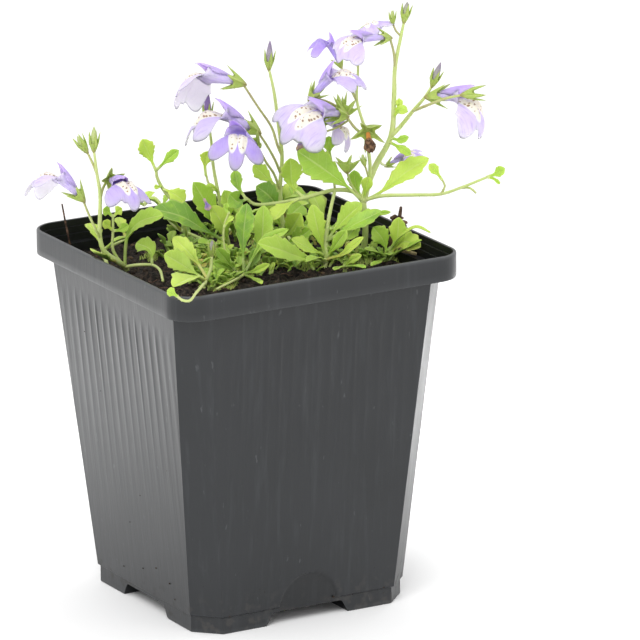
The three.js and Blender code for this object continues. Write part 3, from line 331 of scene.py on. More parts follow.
class Look:
    """A material, with short ways to add its nodes."""

    def __init__(self, name, **settings):
        self.material = bpy.data.materials.new(name)
        self.material.use_nodes = True
        self.tree = self.material.node_tree
        self.shader = next(n for n in self.tree.nodes if n.type == "BSDF_PRINCIPLED")
        for socket, value in settings.items():
            self.shader.inputs[socket.replace("_", " ")].default_value = value
        self.organ = self.node("ShaderNodeAttribute", attribute_name="organ").outputs["Vector"]
        split = self.node("ShaderNodeSeparateXYZ", {0: self.organ})
        self.along, self.across, self.tone = split.outputs[:3]
        self.kind = self.node("ShaderNodeAttribute", attribute_name="kind").outputs["Fac"]
        self.place = self.node("ShaderNodeTexCoord").outputs["Object"]

    def node(self, kind, inputs=None, **settings):
        made = self.tree.nodes.new(kind)
        for key, value in settings.items():
            setattr(made, key, value)
        for key, value in (inputs or {}).items():
            if isinstance(value, bpy.types.NodeSocket):
                self.tree.links.new(value, made.inputs[key])
            else:
                made.inputs[key].default_value = value
        return made

    def math(self, operation, *values, clamp=False):
        inputs = dict(enumerate(values))
        return self.node("ShaderNodeMath", inputs, operation=operation, use_clamp=clamp).outputs[0]

    def times(self, first, *factors):
        for factor in factors:
            first = self.math("MULTIPLY", first, factor)
        return first

    def squares(self, x, y):
        return self.math("ADD", self.times(x, x), self.times(y, y))

    def varied(self, value, patch, swing):
        """Value moved up and down by a patchy noise."""
        return self.math("ADD", value, self.math("MULTIPLY_ADD", patch, swing, -swing / 2), clamp=True)

    def band(self, value, low, high):
        """0 below low and 1 above high, or the other way round."""
        inputs = {0: value, 1: low, 2: high, 3: 0.0, 4: 1.0}
        return self.node("ShaderNodeMapRange", inputs, interpolation_type="SMOOTHSTEP").outputs[0]

    def mix(self, share, a, b):
        inputs = {0: share}
        for key, value in ((6, a), (7, b)):
            inputs[key] = value if isinstance(value, bpy.types.NodeSocket) else rgb(value)
        return self.node("ShaderNodeMix", inputs, data_type="RGBA").outputs[2]

    def tint(self, colour, mask, share, shade):
        """Colour that goes over to a shade, by a share, where the mask is."""
        return self.mix(self.times(mask, share), colour, shade)

    def noise(self, per_metre, detail=2.0, vector=None, stretch=(1, 1, 1)):
        source = vector or self.place
        if stretch != (1, 1, 1):
            source = self.node("ShaderNodeMapping", {"Vector": source, "Scale": stretch}).outputs[0]
        inputs = {"Vector": source, "Scale": per_metre, "Detail": detail}
        return self.node("ShaderNodeTexNoise", inputs).outputs["Fac"]

    def finished(self, colour, height, distance, strength, roughness=None):
        """The material, with its colour and a bump of that height in millimetres."""
        inputs = {"Height": height, "Distance": distance * METRE, "Strength": strength}
        bump = self.node("ShaderNodeBump", inputs)
        sources = {"Base Color": colour, "Normal": bump.outputs[0], "Roughness": roughness}
        for name, source in sources.items():
            if source is not None:
                self.tree.links.new(source, self.shader.inputs[name])
        return self.material


def rgb(hexadecimal):
    """Linear colour of a 24-bit display colour."""
    parts = [(hexadecimal >> shift & 255) / 255 for shift in (16, 8, 0)]
    linear = [c / 12.92 if c <= 0.04045 else ((c + 0.055) / 1.055) ** 2.4 for c in parts]
    return (*linear, 1)


# Materials
def green_look(name, glow, depth, **settings):
    """Look of a green part, which light passes through to a depth in millimetres."""
    through_green = (0.6, 1, 0.3)
    return Look(name, Subsurface_Weight=glow, Subsurface_Radius=through_green,
                Subsurface_Scale=depth * METRE, **settings)


def leaf_look():
    """Along and across run over the blade, and tone is how young it is; kind is 0 underneath."""
    look = green_look("leaf", 0.18, 1.2, Roughness=0.5, Specular_IOR_Level=0.4)
    width = look.math("ABSOLUTE", look.across)
    young = look.varied(look.tone, look.noise(260, 3), 0.5)
    blade = look.mix(young, 0x94C036, 0xC6DE58)
    blade = look.mix(look.band(young, 0.16, 0.0), blade, 0x76A23A)
    # a bright midrib, side veins that run forward, and a paler edge and stalk
    midrib = look.band(width, 0.1, 0.02)
    forward = look.math("MULTIPLY_ADD", width, -0.16, look.along)
    ripple = look.math("PINGPONG", look.times(forward, 6.5), 0.5)
    side_vein = look.times(look.band(ripple, 0.07, 0.0), look.band(width, 1.0, 0.55), 0.45)
    vein = look.math("MAXIMUM", midrib, side_vein)
    blade = look.tint(blade, vein, 0.4, 0xDCE89A)
    blade = look.tint(blade, look.band(width, 0.86, 1.0), 0.5, 0xD2E27C)
    blade = look.tint(blade, look.band(look.along, 0.08, -0.12), 0.75, 0xD3DF95)
    blade = look.tint(blade, look.band(look.kind, 0.6, 0.4), 0.5, 0xBBD276)
    # painted shade darkens the blades near the soil in patches, and a few of the blades there are yellowed
    height = look.node("ShaderNodeSeparateXYZ", {"Vector": look.place}).outputs["Z"]
    shade_near_soil = look.times(look.band(height, 0.108, 0.094), look.band(look.noise(110, 2), 0.3, 0.65))
    blade = look.tint(blade, shade_near_soil, 0.75, 0x66862C)
    yellowed = look.times(look.band(height, 0.1, 0.096), look.band(look.tone, 0.86, 0.96))
    blade = look.tint(blade, yellowed, 0.8, 0xC2AE5A)
    cell = look.noise(2600, 2)
    blade = look.mix(0.12, blade, look.mix(cell, 0x3E6B16, 0xE4F1A0))
    relief = look.math("MULTIPLY_ADD", vein, -0.5, look.times(cell, 0.45))
    return look.finished(blade, relief, 0.12, 0.7)


def stem_look():
    look = green_look("stem", 0.15, 1, Roughness=0.5, Specular_IOR_Level=0.4)
    patch = look.noise(330, 3)
    green = look.mix(patch, 0xB4C868, 0xD4DE98)
    colour = look.mix(look.band(look.varied(look.kind, patch, 0.6), 0.15, 0.95), green, 0x8F6259)
    fibre = look.noise(900, 2, stretch=(1, 1, 0.15))
    colour = look.mix(0.15, colour, look.mix(fibre, 0x5F6F2C, 0xE6EBB8))
    return look.finished(colour, fibre, 0.08, 0.6)


def cup_look():
    """Calyces and buds: along runs from the foot (0) to the lobes' tips (1) and a bud's
    corolla (2 to 3); tone is how purple a bud is."""
    look = green_look("calyx", 0.12, 1, Roughness=0.55, Specular_IOR_Level=0.35)
    colour = look.mix(look.noise(700, 3), 0x86A83C, 0xB6C661)
    colour = look.tint(colour, look.band(look.along, 0.5, 0.05), 0.75, 0x8A5F50)
    colour = look.tint(colour, look.band(look.math("ABSOLUTE", look.across), 0.22, 0.0), 0.5, 0xCEDA88)
    petal = look.mix(look.tone, 0xB9CA72, 0x8D6BB8)
    petal = look.tint(petal, look.band(look.along, 2.3, 2.9), look.tone, 0x6B4A8E)
    colour = look.mix(look.band(look.along, 1.4, 1.6), colour, petal)
    colour = look.mix(0.15, colour, look.mix(look.noise(2200, 1), 0x4C5E22, 0xE6ECB0))
    return look.finished(colour, look.noise(1800, 2), 0.1, 0.6)


def petal_look():
    """Corollas: organ is the place along and across the lip, scaled to a 12 mm lip, and the
    petal's own tone; kind is 1 on the lip's face, 0 under it, 2 on the tube, 3 on the hood."""
    look = Look("petal", Roughness=0.6, Specular_IOR_Level=0.3, Subsurface_Weight=0.6,
                Subsurface_Radius=(0.9, 0.8, 1), Subsurface_Scale=1.5 * METRE)
    flush = look.varied(look.tone, look.noise(240, 3), 0.5)
    colour = look.mix(flush, 0xDACEF2, 0x9A84D6)
    streak = look.noise(1.0, 2, vector=look.organ, stretch=(0.35, 2.4, 1))
    colour = look.tint(colour, look.band(streak, 0.5, 0.75), 0.5, 0x9C83DA)
    colour = look.tint(colour, look.band(look.along, 8.0, 12.0), 0.3, 0xB9A6EA)
    face = look.times(look.band(look.kind, 0.7, 0.95), look.band(look.kind, 1.3, 1.05))
    # two cream ridges with yellow and brown spots, and a violet groove between them
    width = look.math("ABSOLUTE", look.across)
    across = look.times(look.math("SUBTRACT", width, 1.3), 1 / 1.35)
    along = look.times(look.math("SUBTRACT", look.along, RIDGE_ALONG), 1 / 4.6)
    squared = look.squares(across, along)
    palate = look.times(face, look.band(look.tone, 0.84, 0.8), look.band(squared, 1.15, 0.8))
    colour = look.tint(colour, palate, 0.88, 0xF4EEE6)
    ridge = look.band(squared, 0.85, 0.6)
    spots = {"Vector": look.organ, "Scale": 1.1, "Randomness": 0.85}
    dots = look.node("ShaderNodeTexVoronoi", spots).outputs["Distance"]
    dotted = look.times(look.band(dots, 0.36, 0.22), palate, ridge)
    colour = look.tint(colour, look.times(ridge, palate), 0.22, 0xEBD08A)
    colour = look.tint(colour, dotted, 0.85, 0x80572F)
    colour = look.tint(colour, look.band(look.kind, 0.5, 0.2), 0.8, 0xF6F0FF)
    colour = look.tint(colour, look.band(look.kind, 2.5, 2.9), 0.6, 0xB093F0)
    relief = look.math("MULTIPLY_ADD", streak, 0.6, look.noise(1500, 2))
    return look.finished(colour, relief, 0.12, 0.5)


def dry_look(name, dark, pale, roughness=0.85, per_metre=500, fresh=None):
    look = Look(name, Roughness=roughness, Specular_IOR_Level=0.25)
    colour = look.mix(look.band(look.noise(per_metre, 4), 0.35, 0.65), dark, pale)
    if fresh:
        colour = look.mix(look.band(look.along, 0.55, 0.3), colour, fresh)
    colour = look.tint(colour, look.tone, 0.6, pale)
    return look.finished(colour, look.noise(per_metre * 3, 4), 0.25, 0.8)


def soil_look():
    look = Look("soil", Specular_IOR_Level=0.3)
    grain = look.noise(900, 5)
    colour = look.mix(look.band(grain, 0.38, 0.66), 0x0F0B09, 0x40342B)
    colour = look.tint(colour, look.band(look.noise(160, 3), 0.5, 0.7), 0.5, 0x241B16)
    colour = look.tint(colour, look.band(look.noise(2400, 1), 0.7, 0.76), 0.6, 0x8A7560)
    colour = look.tint(colour, look.tone, 0.8, 0x6F5A45)
    return look.finished(colour, look.noise(1700, 5), 0.5, 1.0, look.math("MULTIPLY_ADD", grain, -0.35, 1.0))


def moss_look():
    look = Look("moss", Roughness=0.8, Specular_IOR_Level=0.25)
    colour = look.mix(look.noise(600, 3), 0x6E9A2E, 0xB9CE5E)
    colour = look.tint(colour, look.tone, 0.7, 0xD6D98A)
    return look.finished(colour, look.noise(2500, 2), 0.1, 0.5)


def pot_look():
    """Moulded dark grey plastic: organ holds the height in millimetres, the distance across
    the face and how strong the painted highlight on an edge is; kind is 1 inside, in painted shade."""
    look = Look("pot_plastic", Specular_IOR_Level=0.46)
    streaks = look.noise(520, 4, stretch=(1, 1, 0.018))
    colour = look.mix(look.noise(45, 4), 0x1B1D1F, 0x26282B)
    colour = look.tint(colour, look.band(streaks, 0.5, 0.8), 0.35, 0x3A3D40)
    scuff = look.noise(700, 5, stretch=(1, 1, 0.35))
    colour = look.tint(colour, look.band(scuff, 0.68, 0.76), 0.25, 0x696C6F)
    # dust along the foot, and specks of earth
    low = look.times(look.band(look.along, 14.0, 1.0), look.band(look.noise(380, 5), 0.52, 0.66))
    colour = look.tint(colour, low, 0.16, 0x6B645D)
    speck = look.band(look.noise(1300, 1), 0.75, 0.79)
    colour = look.tint(colour, speck, look.band(look.along, 34.0, 10.0), 0x191512)
    # painted highlight along the foot's lower edge, the rim's top and the steps inside the rim
    colour = look.tint(colour, look.tone, 0.25, 0x8B8E90)
    # darker arch over the notches of the front and back faces
    squared = look.squares(look.across, look.math("SUBTRACT", look.along, NOTCH_HIGH + 1))
    arch = look.band(squared, (ARCH_RADIUS + 0.6) ** 2, (ARCH_RADIUS - 0.6) ** 2)
    colour = look.tint(colour, arch, 0.45, 0x0F1011)
    # painted shade: the inside of the rim and the pot's wall is darkened to near black
    colour = look.tint(colour, look.kind, 0.85, 0x0C0D0E)
    rough = look.math("MULTIPLY_ADD", streaks, 0.2, 0.24)
    rough = look.math("ADD", rough, look.times(low, 0.25), clamp=True)
    fine = look.noise(2600, 2, stretch=(1, 1, 0.03))
    relief = look.math("MULTIPLY_ADD", fine, 0.35, look.times(streaks, 0.65))
    return look.finished(colour, relief, 0.12, 0.55, rough)


LEAF = leaf_look()
STEM = stem_look()
CUP = cup_look()
PETAL = petal_look()
SOIL = soil_look()
MOSS = moss_look()
POT = pot_look()
WITHERED = dry_look("withered_petal", 0x2E2019, 0x8A6A50, per_metre=900, fresh=0xD08A45)
LIMP = dry_look("limp_petal", 0x7A6BC0, 0xC9A987, roughness=0.7, per_metre=350)
BARK = dry_look("bark", 0x261C15, 0x74594A)
STRAW = dry_look("straw", 0x9C875C, 0xD9C899, roughness=0.6)


# Pot: how far the fine columns of a face reach, the columns beyond them and the steps of a corner
COLUMN_REACH = 25.4
OUTER_COLUMNS = 11
CORNER_STEPS = 7
SHARP_ANGLE = 32
FACE_SHIFT = 200
QUARTERS = range(4)

# Heights of the foot with how far it is drawn in, and heights of the body's rings
FOOT_PROFILE = [(0, 0.25), (0.25, 0), (1.5, 0), (3, 0), (NOTCH_HIGH, 0), (4.3, 0), (FOOT_STEP, 0)]
BODY_HEIGHTS = [
  *(FOOT_STEP + 0.4 + 0.55 * i for i in range(19)), *(16 + 1.5 * i for i in range(48)),
  RIB_TOP, 88.4, 88.9, 90.5, 92.5, BAND_FOOT,
]
# Height, half width and painted highlight of the rim's steps
RIM_OUTSIDE = [
  (BAND_FOOT, 43.4, 0), (BAND_FOOT, RIM_HALF - 0.5, 0.1), (BAND_FOOT + 0.15, RIM_HALF - 0.1, 0.3),
  (BAND_FOOT + 0.6, RIM_HALF, 0.1), (96.5, RIM_HALF, 0), (98.6, RIM_HALF, 0), (100.4, RIM_HALF, 0.05),
  (100.95, RIM_HALF, 0.5), (101.25, RIM_HALF - 0.12, 0.9), (POT_HEIGHT, RIM_HALF - 0.4, 0.7),
]
# the steps inside the rim, with painted highlight lines on their edges
RIM_INSIDE = [
  (POT_HEIGHT, 44.2, 0.45), (101.3, 43.95, 0.2), (99.5, 43.9, 0), (99.4, 43.5, 0.1), (97.5, 43.45, 0),
  (97.4, 43.05, 0.1), (95.5, 43, 0), (LEDGE_TOP, 42.8, 0),
]
INSIDE_HEIGHTS = [LEDGE_TOP, 94.6, 92, 88, 84]


def face_columns():
    """Distances across a face: five on each rib, one between, and close ones at the notch."""
    places = set()
    ribs = int(COLUMN_REACH / RIB_PITCH)
    for i in range(-ribs, ribs + 1):
        places |= {i * RIB_PITCH + offset * RIB_HALF for offset in (-1, -0.5, 0, 0.5, 1)}
        if i < ribs:
            places.add((i + 0.5) * RIB_PITCH)
    for side in (-1, 1):
        places |= {side * (NOTCH_WIDE / 2 + step) for step in (-2, -1.2, -0.5, 0, 0.5, 1.2, 2)}
        places |= {side * ARCH_RADIUS, side * COLUMN_REACH}
    return sorted(round(x, 3) for x in places if abs(x) <= COLUMN_REACH)


FACE_COLUMNS = face_columns()


def quarter_turn(x, y, quarter):
    for _ in range(quarter):
        x, y = -y, x
    return x, y


def octagon(half):
    """Corners of a square whose own corners are cut like the body's."""
    flat = half - CHAMFER
    return [quarter_turn(x, y, quarter) for quarter in QUARTERS for x, y in ((flat, -half), (half, -flat))]


def body_half(z):
    share = (z - FOOT_STEP) / (BAND_FOOT - FOOT_STEP)
    return lerp(BODY_FOOT_SIDE, BODY_TOP_SIDE, share) / 2


def rib_relief(x, z):
    """Ribs that grow from nothing at their foot and end in a rounded top."""
    nearest = abs((x / RIB_PITCH + 0.5) % 1 - 0.5) * RIB_PITCH
    if abs(x) > (RIB_COUNT - 1) / 2 * RIB_PITCH + RIB_HALF or nearest > RIB_HALF or z < RIB_FOOT:
        return 0
    proud = RIB_PROUD * min(1, (z - RIB_FOOT) / (RIB_TOP - RIB_FOOT)) ** 2.2
    crown = smooth(RIB_TOP + 0.8, RIB_TOP - 5, z)
    return proud * crown * math.cos(nearest / RIB_HALF * math.pi / 2) ** 2


def body_relief(x, z, quarter):
    """Ribs, and the sunk arch over the notches of the front and back faces."""
    if quarter % 2 or z <= NOTCH_HIGH:
        return rib_relief(x, z)
    distance = math.hypot(x, z - NOTCH_HIGH - 1)
    return rib_relief(x, z) - ARCH_DEPTH * smooth(ARCH_RADIUS + 0.2, ARCH_RADIUS - 0.2, distance)


def notch_roof(x):
    """Height of the foot's lower edge: the notches in the middle end in soft slopes."""
    return NOTCH_HIGH * smooth(NOTCH_WIDE / 2 + 2, NOTCH_WIDE / 2 - 1.2, abs(x))


def square_ring(z, half, cut, rounded=False, relief=None, notched=False, kind=0, edge=0):
    """Ring of a square with cut or rounded corners, the four faces in turn."""
    flat = half - cut
    outer = [COLUMN_REACH + (flat - COLUMN_REACH) * (i + 1) / OUTER_COLUMNS for i in range(OUTER_COLUMNS)]
    columns = [-x for x in reversed(outer)] + FACE_COLUMNS + outer
    corner = []
    for i in range(1, CORNER_STEPS + 1):
        share = i / (CORNER_STEPS + 1)
        angle = share * math.pi / 2
        if rounded:
            corner.append((flat + cut * math.sin(angle), -flat - cut * math.cos(angle), z))
        else:
            corner.append((flat + cut * share, -half + cut * share, z))
    ring = []
    for quarter in QUARTERS:
        spots = []
        for x in columns:
            height = max(z, notch_roof(x)) if notched else z
            depth = half + (relief(x, z, quarter) if relief else 0)
            spots.append((x, -depth, height))
        for x, y, height in spots + corner:
            point = Vector((*quarter_turn(x, y, quarter), height))
            ring.append((point, (height, x + FACE_SHIFT * (quarter % 2), edge), kind))
    return ring


def make_pot():
    form = Form()
    rings = []
    for z, inset in FOOT_PROFILE:
        # a painted highlight along the foot's lower edge
        edge = 0.25 if z < 1 else 0
        rings.append(square_ring(z, FOOT_HALF - inset, CHAMFER, notched=True, edge=edge))
    for z in BODY_HEIGHTS:
        rings.append(square_ring(z, body_half(z), CHAMFER, relief=body_relief))
    for z, half, edge in RIM_OUTSIDE:
        rings.append(square_ring(z, half, BAND_CORNER - (RIM_HALF - half), rounded=True, edge=edge))
    # rings inside the rim and the wall carry kind 1, where shade is painted
    for z, half, edge in RIM_INSIDE:
        rings.append(square_ring(z, half, BAND_CORNER - 1.5, rounded=True, kind=1, edge=edge))
    for z in INSIDE_HEIGHTS:
        rings.append(square_ring(z, body_half(z) - WALL, CHAMFER - 0.5, kind=1))
    form.skin(rings)
    add_feet(form, FOOT_HALF - 0.32)
    pot = form.piece("pot_body", POT, "pot", ["pot"])
    weld = pot.modifiers.new("weld", "WELD")
    weld.merge_threshold = 0.002 * METRE
    pot.data.set_sharp_from_angle(angle=math.radians(SHARP_ANGLE))
    make_floor()


def add_feet(form, half):
    """Four solid feet between the notches."""
    near = NOTCH_WIDE / 2 + 1.4
    flat = half - CHAMFER
    outline = [(near, near), (half, near), (half, flat), (flat, half), (near, half)]
    for quarter in QUARTERS:
        low = form.skin([
            [(Vector((*quarter_turn(x, y, quarter), z)), (z, 0, 0), 0) for x, y in outline]
            for z in (0, NOTCH_HIGH + 0.1)
        ])[0]
        form.faces.append(tuple(reversed(low)))


def make_floor():
    """Bottom plate with its drain holes."""
    plate = bmesh.new()
    loops = [octagon(FOOT_HALF - 0.05)]
    for x, y in ((0, 0), (DRAIN_REACH, 0), (0, DRAIN_REACH), (-DRAIN_REACH, 0), (0, -DRAIN_REACH)):
        loops.append([
            (x + DRAIN_RADIUS * math.cos(angle), y + DRAIN_RADIUS * math.sin(angle))
            for angle in round_angles(DRAIN_SIDES)
        ])
    edges = []
    for loop in loops:
        corners = [plate.verts.new((x * METRE, y * METRE, NOTCH_HIGH * METRE)) for x, y in loop]
        edges += [plate.edges.new(pair) for pair in zip(corners, corners[1:] + corners[:1])]
    bmesh.ops.triangle_fill(plate, edges=edges, use_beauty=True)
    lifted = bmesh.ops.extrude_face_region(plate, geom=plate.faces[:])
    moved = [v for v in lifted["geom"] if isinstance(v, bmesh.types.BMVert)]
    bmesh.ops.translate(plate, verts=moved, vec=(0, 0, (FLOOR_TOP - NOTCH_HIGH) * METRE))
    bmesh.ops.recalc_face_normals(plate, faces=plate.faces)
    # the extruded sides come in no fixed order, so each face is placed by its first edge
    plate.verts.index_update()
    plate.faces.sort(key=lambda face: face.verts[0].index * len(plate.verts) + face.verts[1].index)
    mesh = bpy.data.meshes.new("pot_floor")
    plate.to_mesh(mesh)
    plate.free()
    show("pot_floor", mesh, POT, ["pot"])


# Earth stuck to the pot: distance across the face, height and radius of each bit
DIRT_FRONT = [
  (-24.5, 0.8, 0.7), (-23.2, 0.6, 0.5), (-21.6, 0.9, 0.6), (-20, 0.7, 0.65), (-18.4, 0.6, 0.5),
  (-17, 0.5, 0.4), (-1.2, 93.7, 0.45), (-0.3, 93.9, 0.5), (0.9, 93.6, 0.35), (7.2, 93.7, 0.4),
  (8.3, 93.8, 0.55), (9.4, 93.5, 0.45), (10.8, 93.8, 0.5), (12, 93.9, 0.35), (-25, 5.1, 0.35),
  (8, 5.2, 0.4), (14, 5, 0.3), (24, 5.3, 0.35),
]
DIRT_LEFT = [
  (-10.8, 9, 0.4), (1.2, 11.7, 0.4), (9.3, 14, 0.4), (16.7, 11.5, 0.55), (19, 7.4, 0.35), (-4, 24, 0.3),
  (-14, 60, 0.35), (4, 34, 0.3), (-20, 76, 0.45), (22, 46, 0.3),
]


def make_dirt():
    random = seeded_random(59)
    form = Form()
    for spots, toward_left in ((DIRT_FRONT, False), (DIRT_LEFT, True)):
        for x, z, radius in spots:
            depth = body_half(z) - 0.35 * radius - (FOOT_INSET if z < FOOT_STEP else 0)
            centre = Vector((-depth, -x, z)) if toward_left else Vector((x, -depth, z))
            add_lump(form, centre, radius, random, 0.1 * random())
    form.piece("dirt_on_pot", SOIL, "soil")


# Soil
def soil_relief(x, y):
    return SOIL_RELIEF * (
        0.5 * math.sin(x * 0.37 + 1.3) * math.cos(y * 0.29)
        + 0.3 * math.sin(x * 0.83 + y * 0.61)
        + 0.2 * math.cos(y * 1.31 - x * 0.47)
    )


def soil_height(x, y):
    """The soil's own relief with clods and grains on it."""
    clods = noise.fractal(Vector((x * 0.16, y * 0.16, 3.1)), 1.0, 2.0, 3)
    near = noise.voronoi(Vector((x * 0.42, y * 0.42, 1.7)))[0][0]
    grains = noise.fractal(Vector((x * 0.9, y * 0.9, 8.4)), 1.0, 2.0, 3)
    return SOIL_TOP + soil_relief(x, y) + 0.9 * clods + 1.1 * (0.45 - near) + 0.35 * grains


def make_soil():
    form = Form()
    half = body_half(SOIL_TOP) - WALL - 0.35
    corner = 2 * half - CHAMFER
    rows = []
    for j in range(SOIL_CELLS + 1):
        row = []
        for i in range(SOIL_CELLS + 1):
            x, y = [(k / SOIL_CELLS * 2 - 1) * half for k in (i, j)]
            over = abs(x) + abs(y) - corner
            if over > 0:
                x -= math.copysign(over / 2, x)
                y -= math.copysign(over / 2, y)
            row.append(form.add(Vector((x, y, soil_height(x, y)))))
        rows.append(row)
    for low, high in zip(rows, rows[1:]):
        for i in range(SOIL_CELLS):
            form.faces.append((low[i], low[i + 1], high[i + 1], high[i]))
    foot = octagon(body_half(FLOOR_TOP) - WALL - 0.5)
    form.faces.append(tuple(form.add(Vector((x, y, FLOOR_TOP + 0.4))) for x, y in reversed(foot)))
    form.piece("soil_bed", SOIL, "soil", ["soil"])
    make_crumbs(half)


def add_lump(form, centre, radius, random, tone):
    """Rough grain: three rings and two poles pushed in and out."""
    turn = random() * math.tau
    flat = 0.55 + 0.4 * random()
    rings = [[(centre - UP * radius * 0.8 * flat, (0, 0, tone), 0)]]
    for height, wide in ((-0.35, 0.85), (0.3, 0.9), (0.65, 0.5)):
        rings.append([
            (centre + Vector((
                math.cos(turn + angle) * wide * (0.75 + 0.5 * random()),
                math.sin(turn + angle) * wide * (0.75 + 0.5 * random()),
                height * flat,
            )) * radius, (0, 0, tone), 0)
            for angle in round_angles(LUMP_SIDES)
        ])
    rings.append([(centre + UP * radius * 0.85 * flat, (0, 0, tone), 0)])
    form.skin(rings)


def make_crumbs(half):
    random = seeded_random(101)
    crumbs = Form()
    for _ in range(CRUMB_COUNT):
        x, y = [(random() * 2 - 1) * (half - 2.2) for _ in range(2)]
        if abs(x) + abs(y) > 2 * half - CHAMFER - 3:
            continue
        radius = 0.28 + 0.75 * random() ** 2.2
        tone = 0.75 if random() > 0.9 else 0.15 * random()
        add_lump(crumbs, Vector((x, y, soil_height(x, y) + radius * 0.25)), radius, random, tone)
    crumbs.piece("soil_crumbs", SOIL, "soil")
    fibres = Form()
    edge = half - 3
    for _ in range(FIBRE_COUNT):
        x, y = [(random() * 2 - 1) * (half - 6) for _ in range(2)]
        turn = random() * math.tau
        long = 2 + 4 * random()
        points = []
        for _ in range(4):
            turn += (random() - 0.5) * 1.1
            points.append(Vector((x, y, soil_height(x, y) + 0.25 + 0.35 * random())))
            x = clamp(x + math.cos(turn) * long / 3, -edge, edge)
            y = clamp(y + math.sin(turn) * long / 3, -edge, edge)
        add_tube(fibres, points, 0.28, 0.16, random, plain=True)
    fibres.piece("soil_fibres", BARK, "soil")


def scatter(random, spot, reach, count, margin):
    """Places drawn on the soil round the one seen at a pixel, clear of the pot's wall."""
    centre = seen(ground(*spot))
    limit = body_half(SOIL_TOP) - WALL - margin
    for _ in range(count):
        turn = random() * math.tau
        out = reach * math.sqrt(random())
        foot = centre + Vector((math.cos(turn) * out, math.sin(turn) * out, 0))
        if max(abs(foot.x), abs(foot.y)) <= limit:
            foot.z = soil_height(foot.x, foot.y)
            yield foot


# Tufts of moss between the stems: pixel of their middle, reach on the soil, and how many
MOSS_PATCHES = [
  ([210, 262], 7, 1300), ([198, 252], 4, 400), ([210, 276], 7, 1100), ([236, 276], 5, 400),
  ([222, 286], 4, 420), ([300, 266], 5, 420), ([355, 262], 5, 420), ([398, 258], 5, 420),
  ([252, 264], 4, 300), ([150, 258], 3, 120), ([275, 245], 8, 500),
]


def make_moss():
    random = seeded_random(211)
    form = Form()
    for spot, reach, count in MOSS_PATCHES:
        for foot in scatter(random, spot, reach, count, 1):
            lean = Vector((random() - 0.5, random() - 0.5, 1.1)).normalized()
            form.spike(foot - UP * 0.1, lean * (0.8 + 1.1 * random()), 0.16, (0, 0, random()))
    form.piece("moss", MOSS, "foliage")


# Stems
def add_tube(form, points, from_thick, to_thick, random, plain=False):
    """Tube along a route; a plain one has no hairs and no blush."""
    curve = Curve(points)
    spans = len(points) - 1
    places = []
    for k, (one, two) in enumerate(zip(points, points[1:])):
        parts = max(2, math.ceil((two - one).length / STEM_STEP))
        places += [(k + i / parts) / spans for i in range(parts)]
    places.append(1)
    sides = 8 if from_thick >= 1.2 else 6
    across = curve.along(0).cross(back).normalized()
    tone = random()
    thin = smooth(1.5, 0.8, from_thick)
    rings = []
    for t in places:
        along = curve.along(t)
        across = (across - along * across.dot(along)).normalized()
        other = along.cross(across)
        centre = curve.at(t)
        radius = lerp(from_thick, to_thick, t) / 2 * STEM_SLIM * (0.95 + 0.1 * random())
        blush = 0 if plain else 0.2 * smooth(101, 135, centre.z) + 0.35 * thin
        rings.append([
            (centre + around(across, other, angle) * radius, (t * curve.length, angle, tone), blush)
            for angle in round_angles(sides)
        ])
        for _ in range(0 if plain or centre.z <= HAIRS_FROM else 2):
            out = around(across, other, random() * math.tau)
            hair = (out + along * 0.25) * HAIR_LONG * (0.5 + 0.6 * random())
            form.spike(centre + out * radius * 0.9, hair, HAIR_HALF, (0, 0, tone), 0.1)
    first = [(curve.at(0) - curve.along(0) * from_thick * 0.2, *rings[0][0][1:])]
    last = [(curve.at(1) + curve.along(1) * to_thick * 0.3, *rings[-1][0][1:])]
    form.skin([first, *rings, last])


def from_soil(route):
    """Points of a route, with one straight under the first, down in the soil."""
    points = [seen(p) for p in route]
    return [points[0] - UP * ROOT_DEPTH, *points]


def stem(route, from_thick, to_thick):
    points = [seen(p) for p in route]
    return lambda forms, random: add_tube(forms["stems"], points, from_thick, to_thick, random)


def rooted(route, from_thick, to_thick):
    return stem(from_soil(route), from_thick, to_thick)


# Leaves: spoon-shaped blades with coarse teeth on the outer half. A ring of points runs over
# the upper face and back beneath, at these shares of the half width
OVER = [-1, -0.9, -0.66, -0.42, -0.2, -0.07, 0, 0.07, 0.2, 0.42, 0.66, 0.9, 1]
BENEATH = [0.85, 0.45, 0, -0.45, -0.85]


def swell(u):
    """Share of the thickness that is left at a share of the half width."""
    return math.sqrt(1 - u ** 4)


def leaf_outline(s):
    return math.sin(math.pi * s ** 1.6) ** 0.8 if 0 < s < 1 else 0


def tooth_factor(s, teeth):
    if s < TOOTH_START:
        return 1
    phase = ((s - TOOTH_START) / (1 - TOOTH_START) * teeth) % 1
    return 1 - TOOTH_DEPTH * max(0, 0.8 - phase) - TOOTH_DEPTH * 0.8 * smooth(0.8, 1, phase)


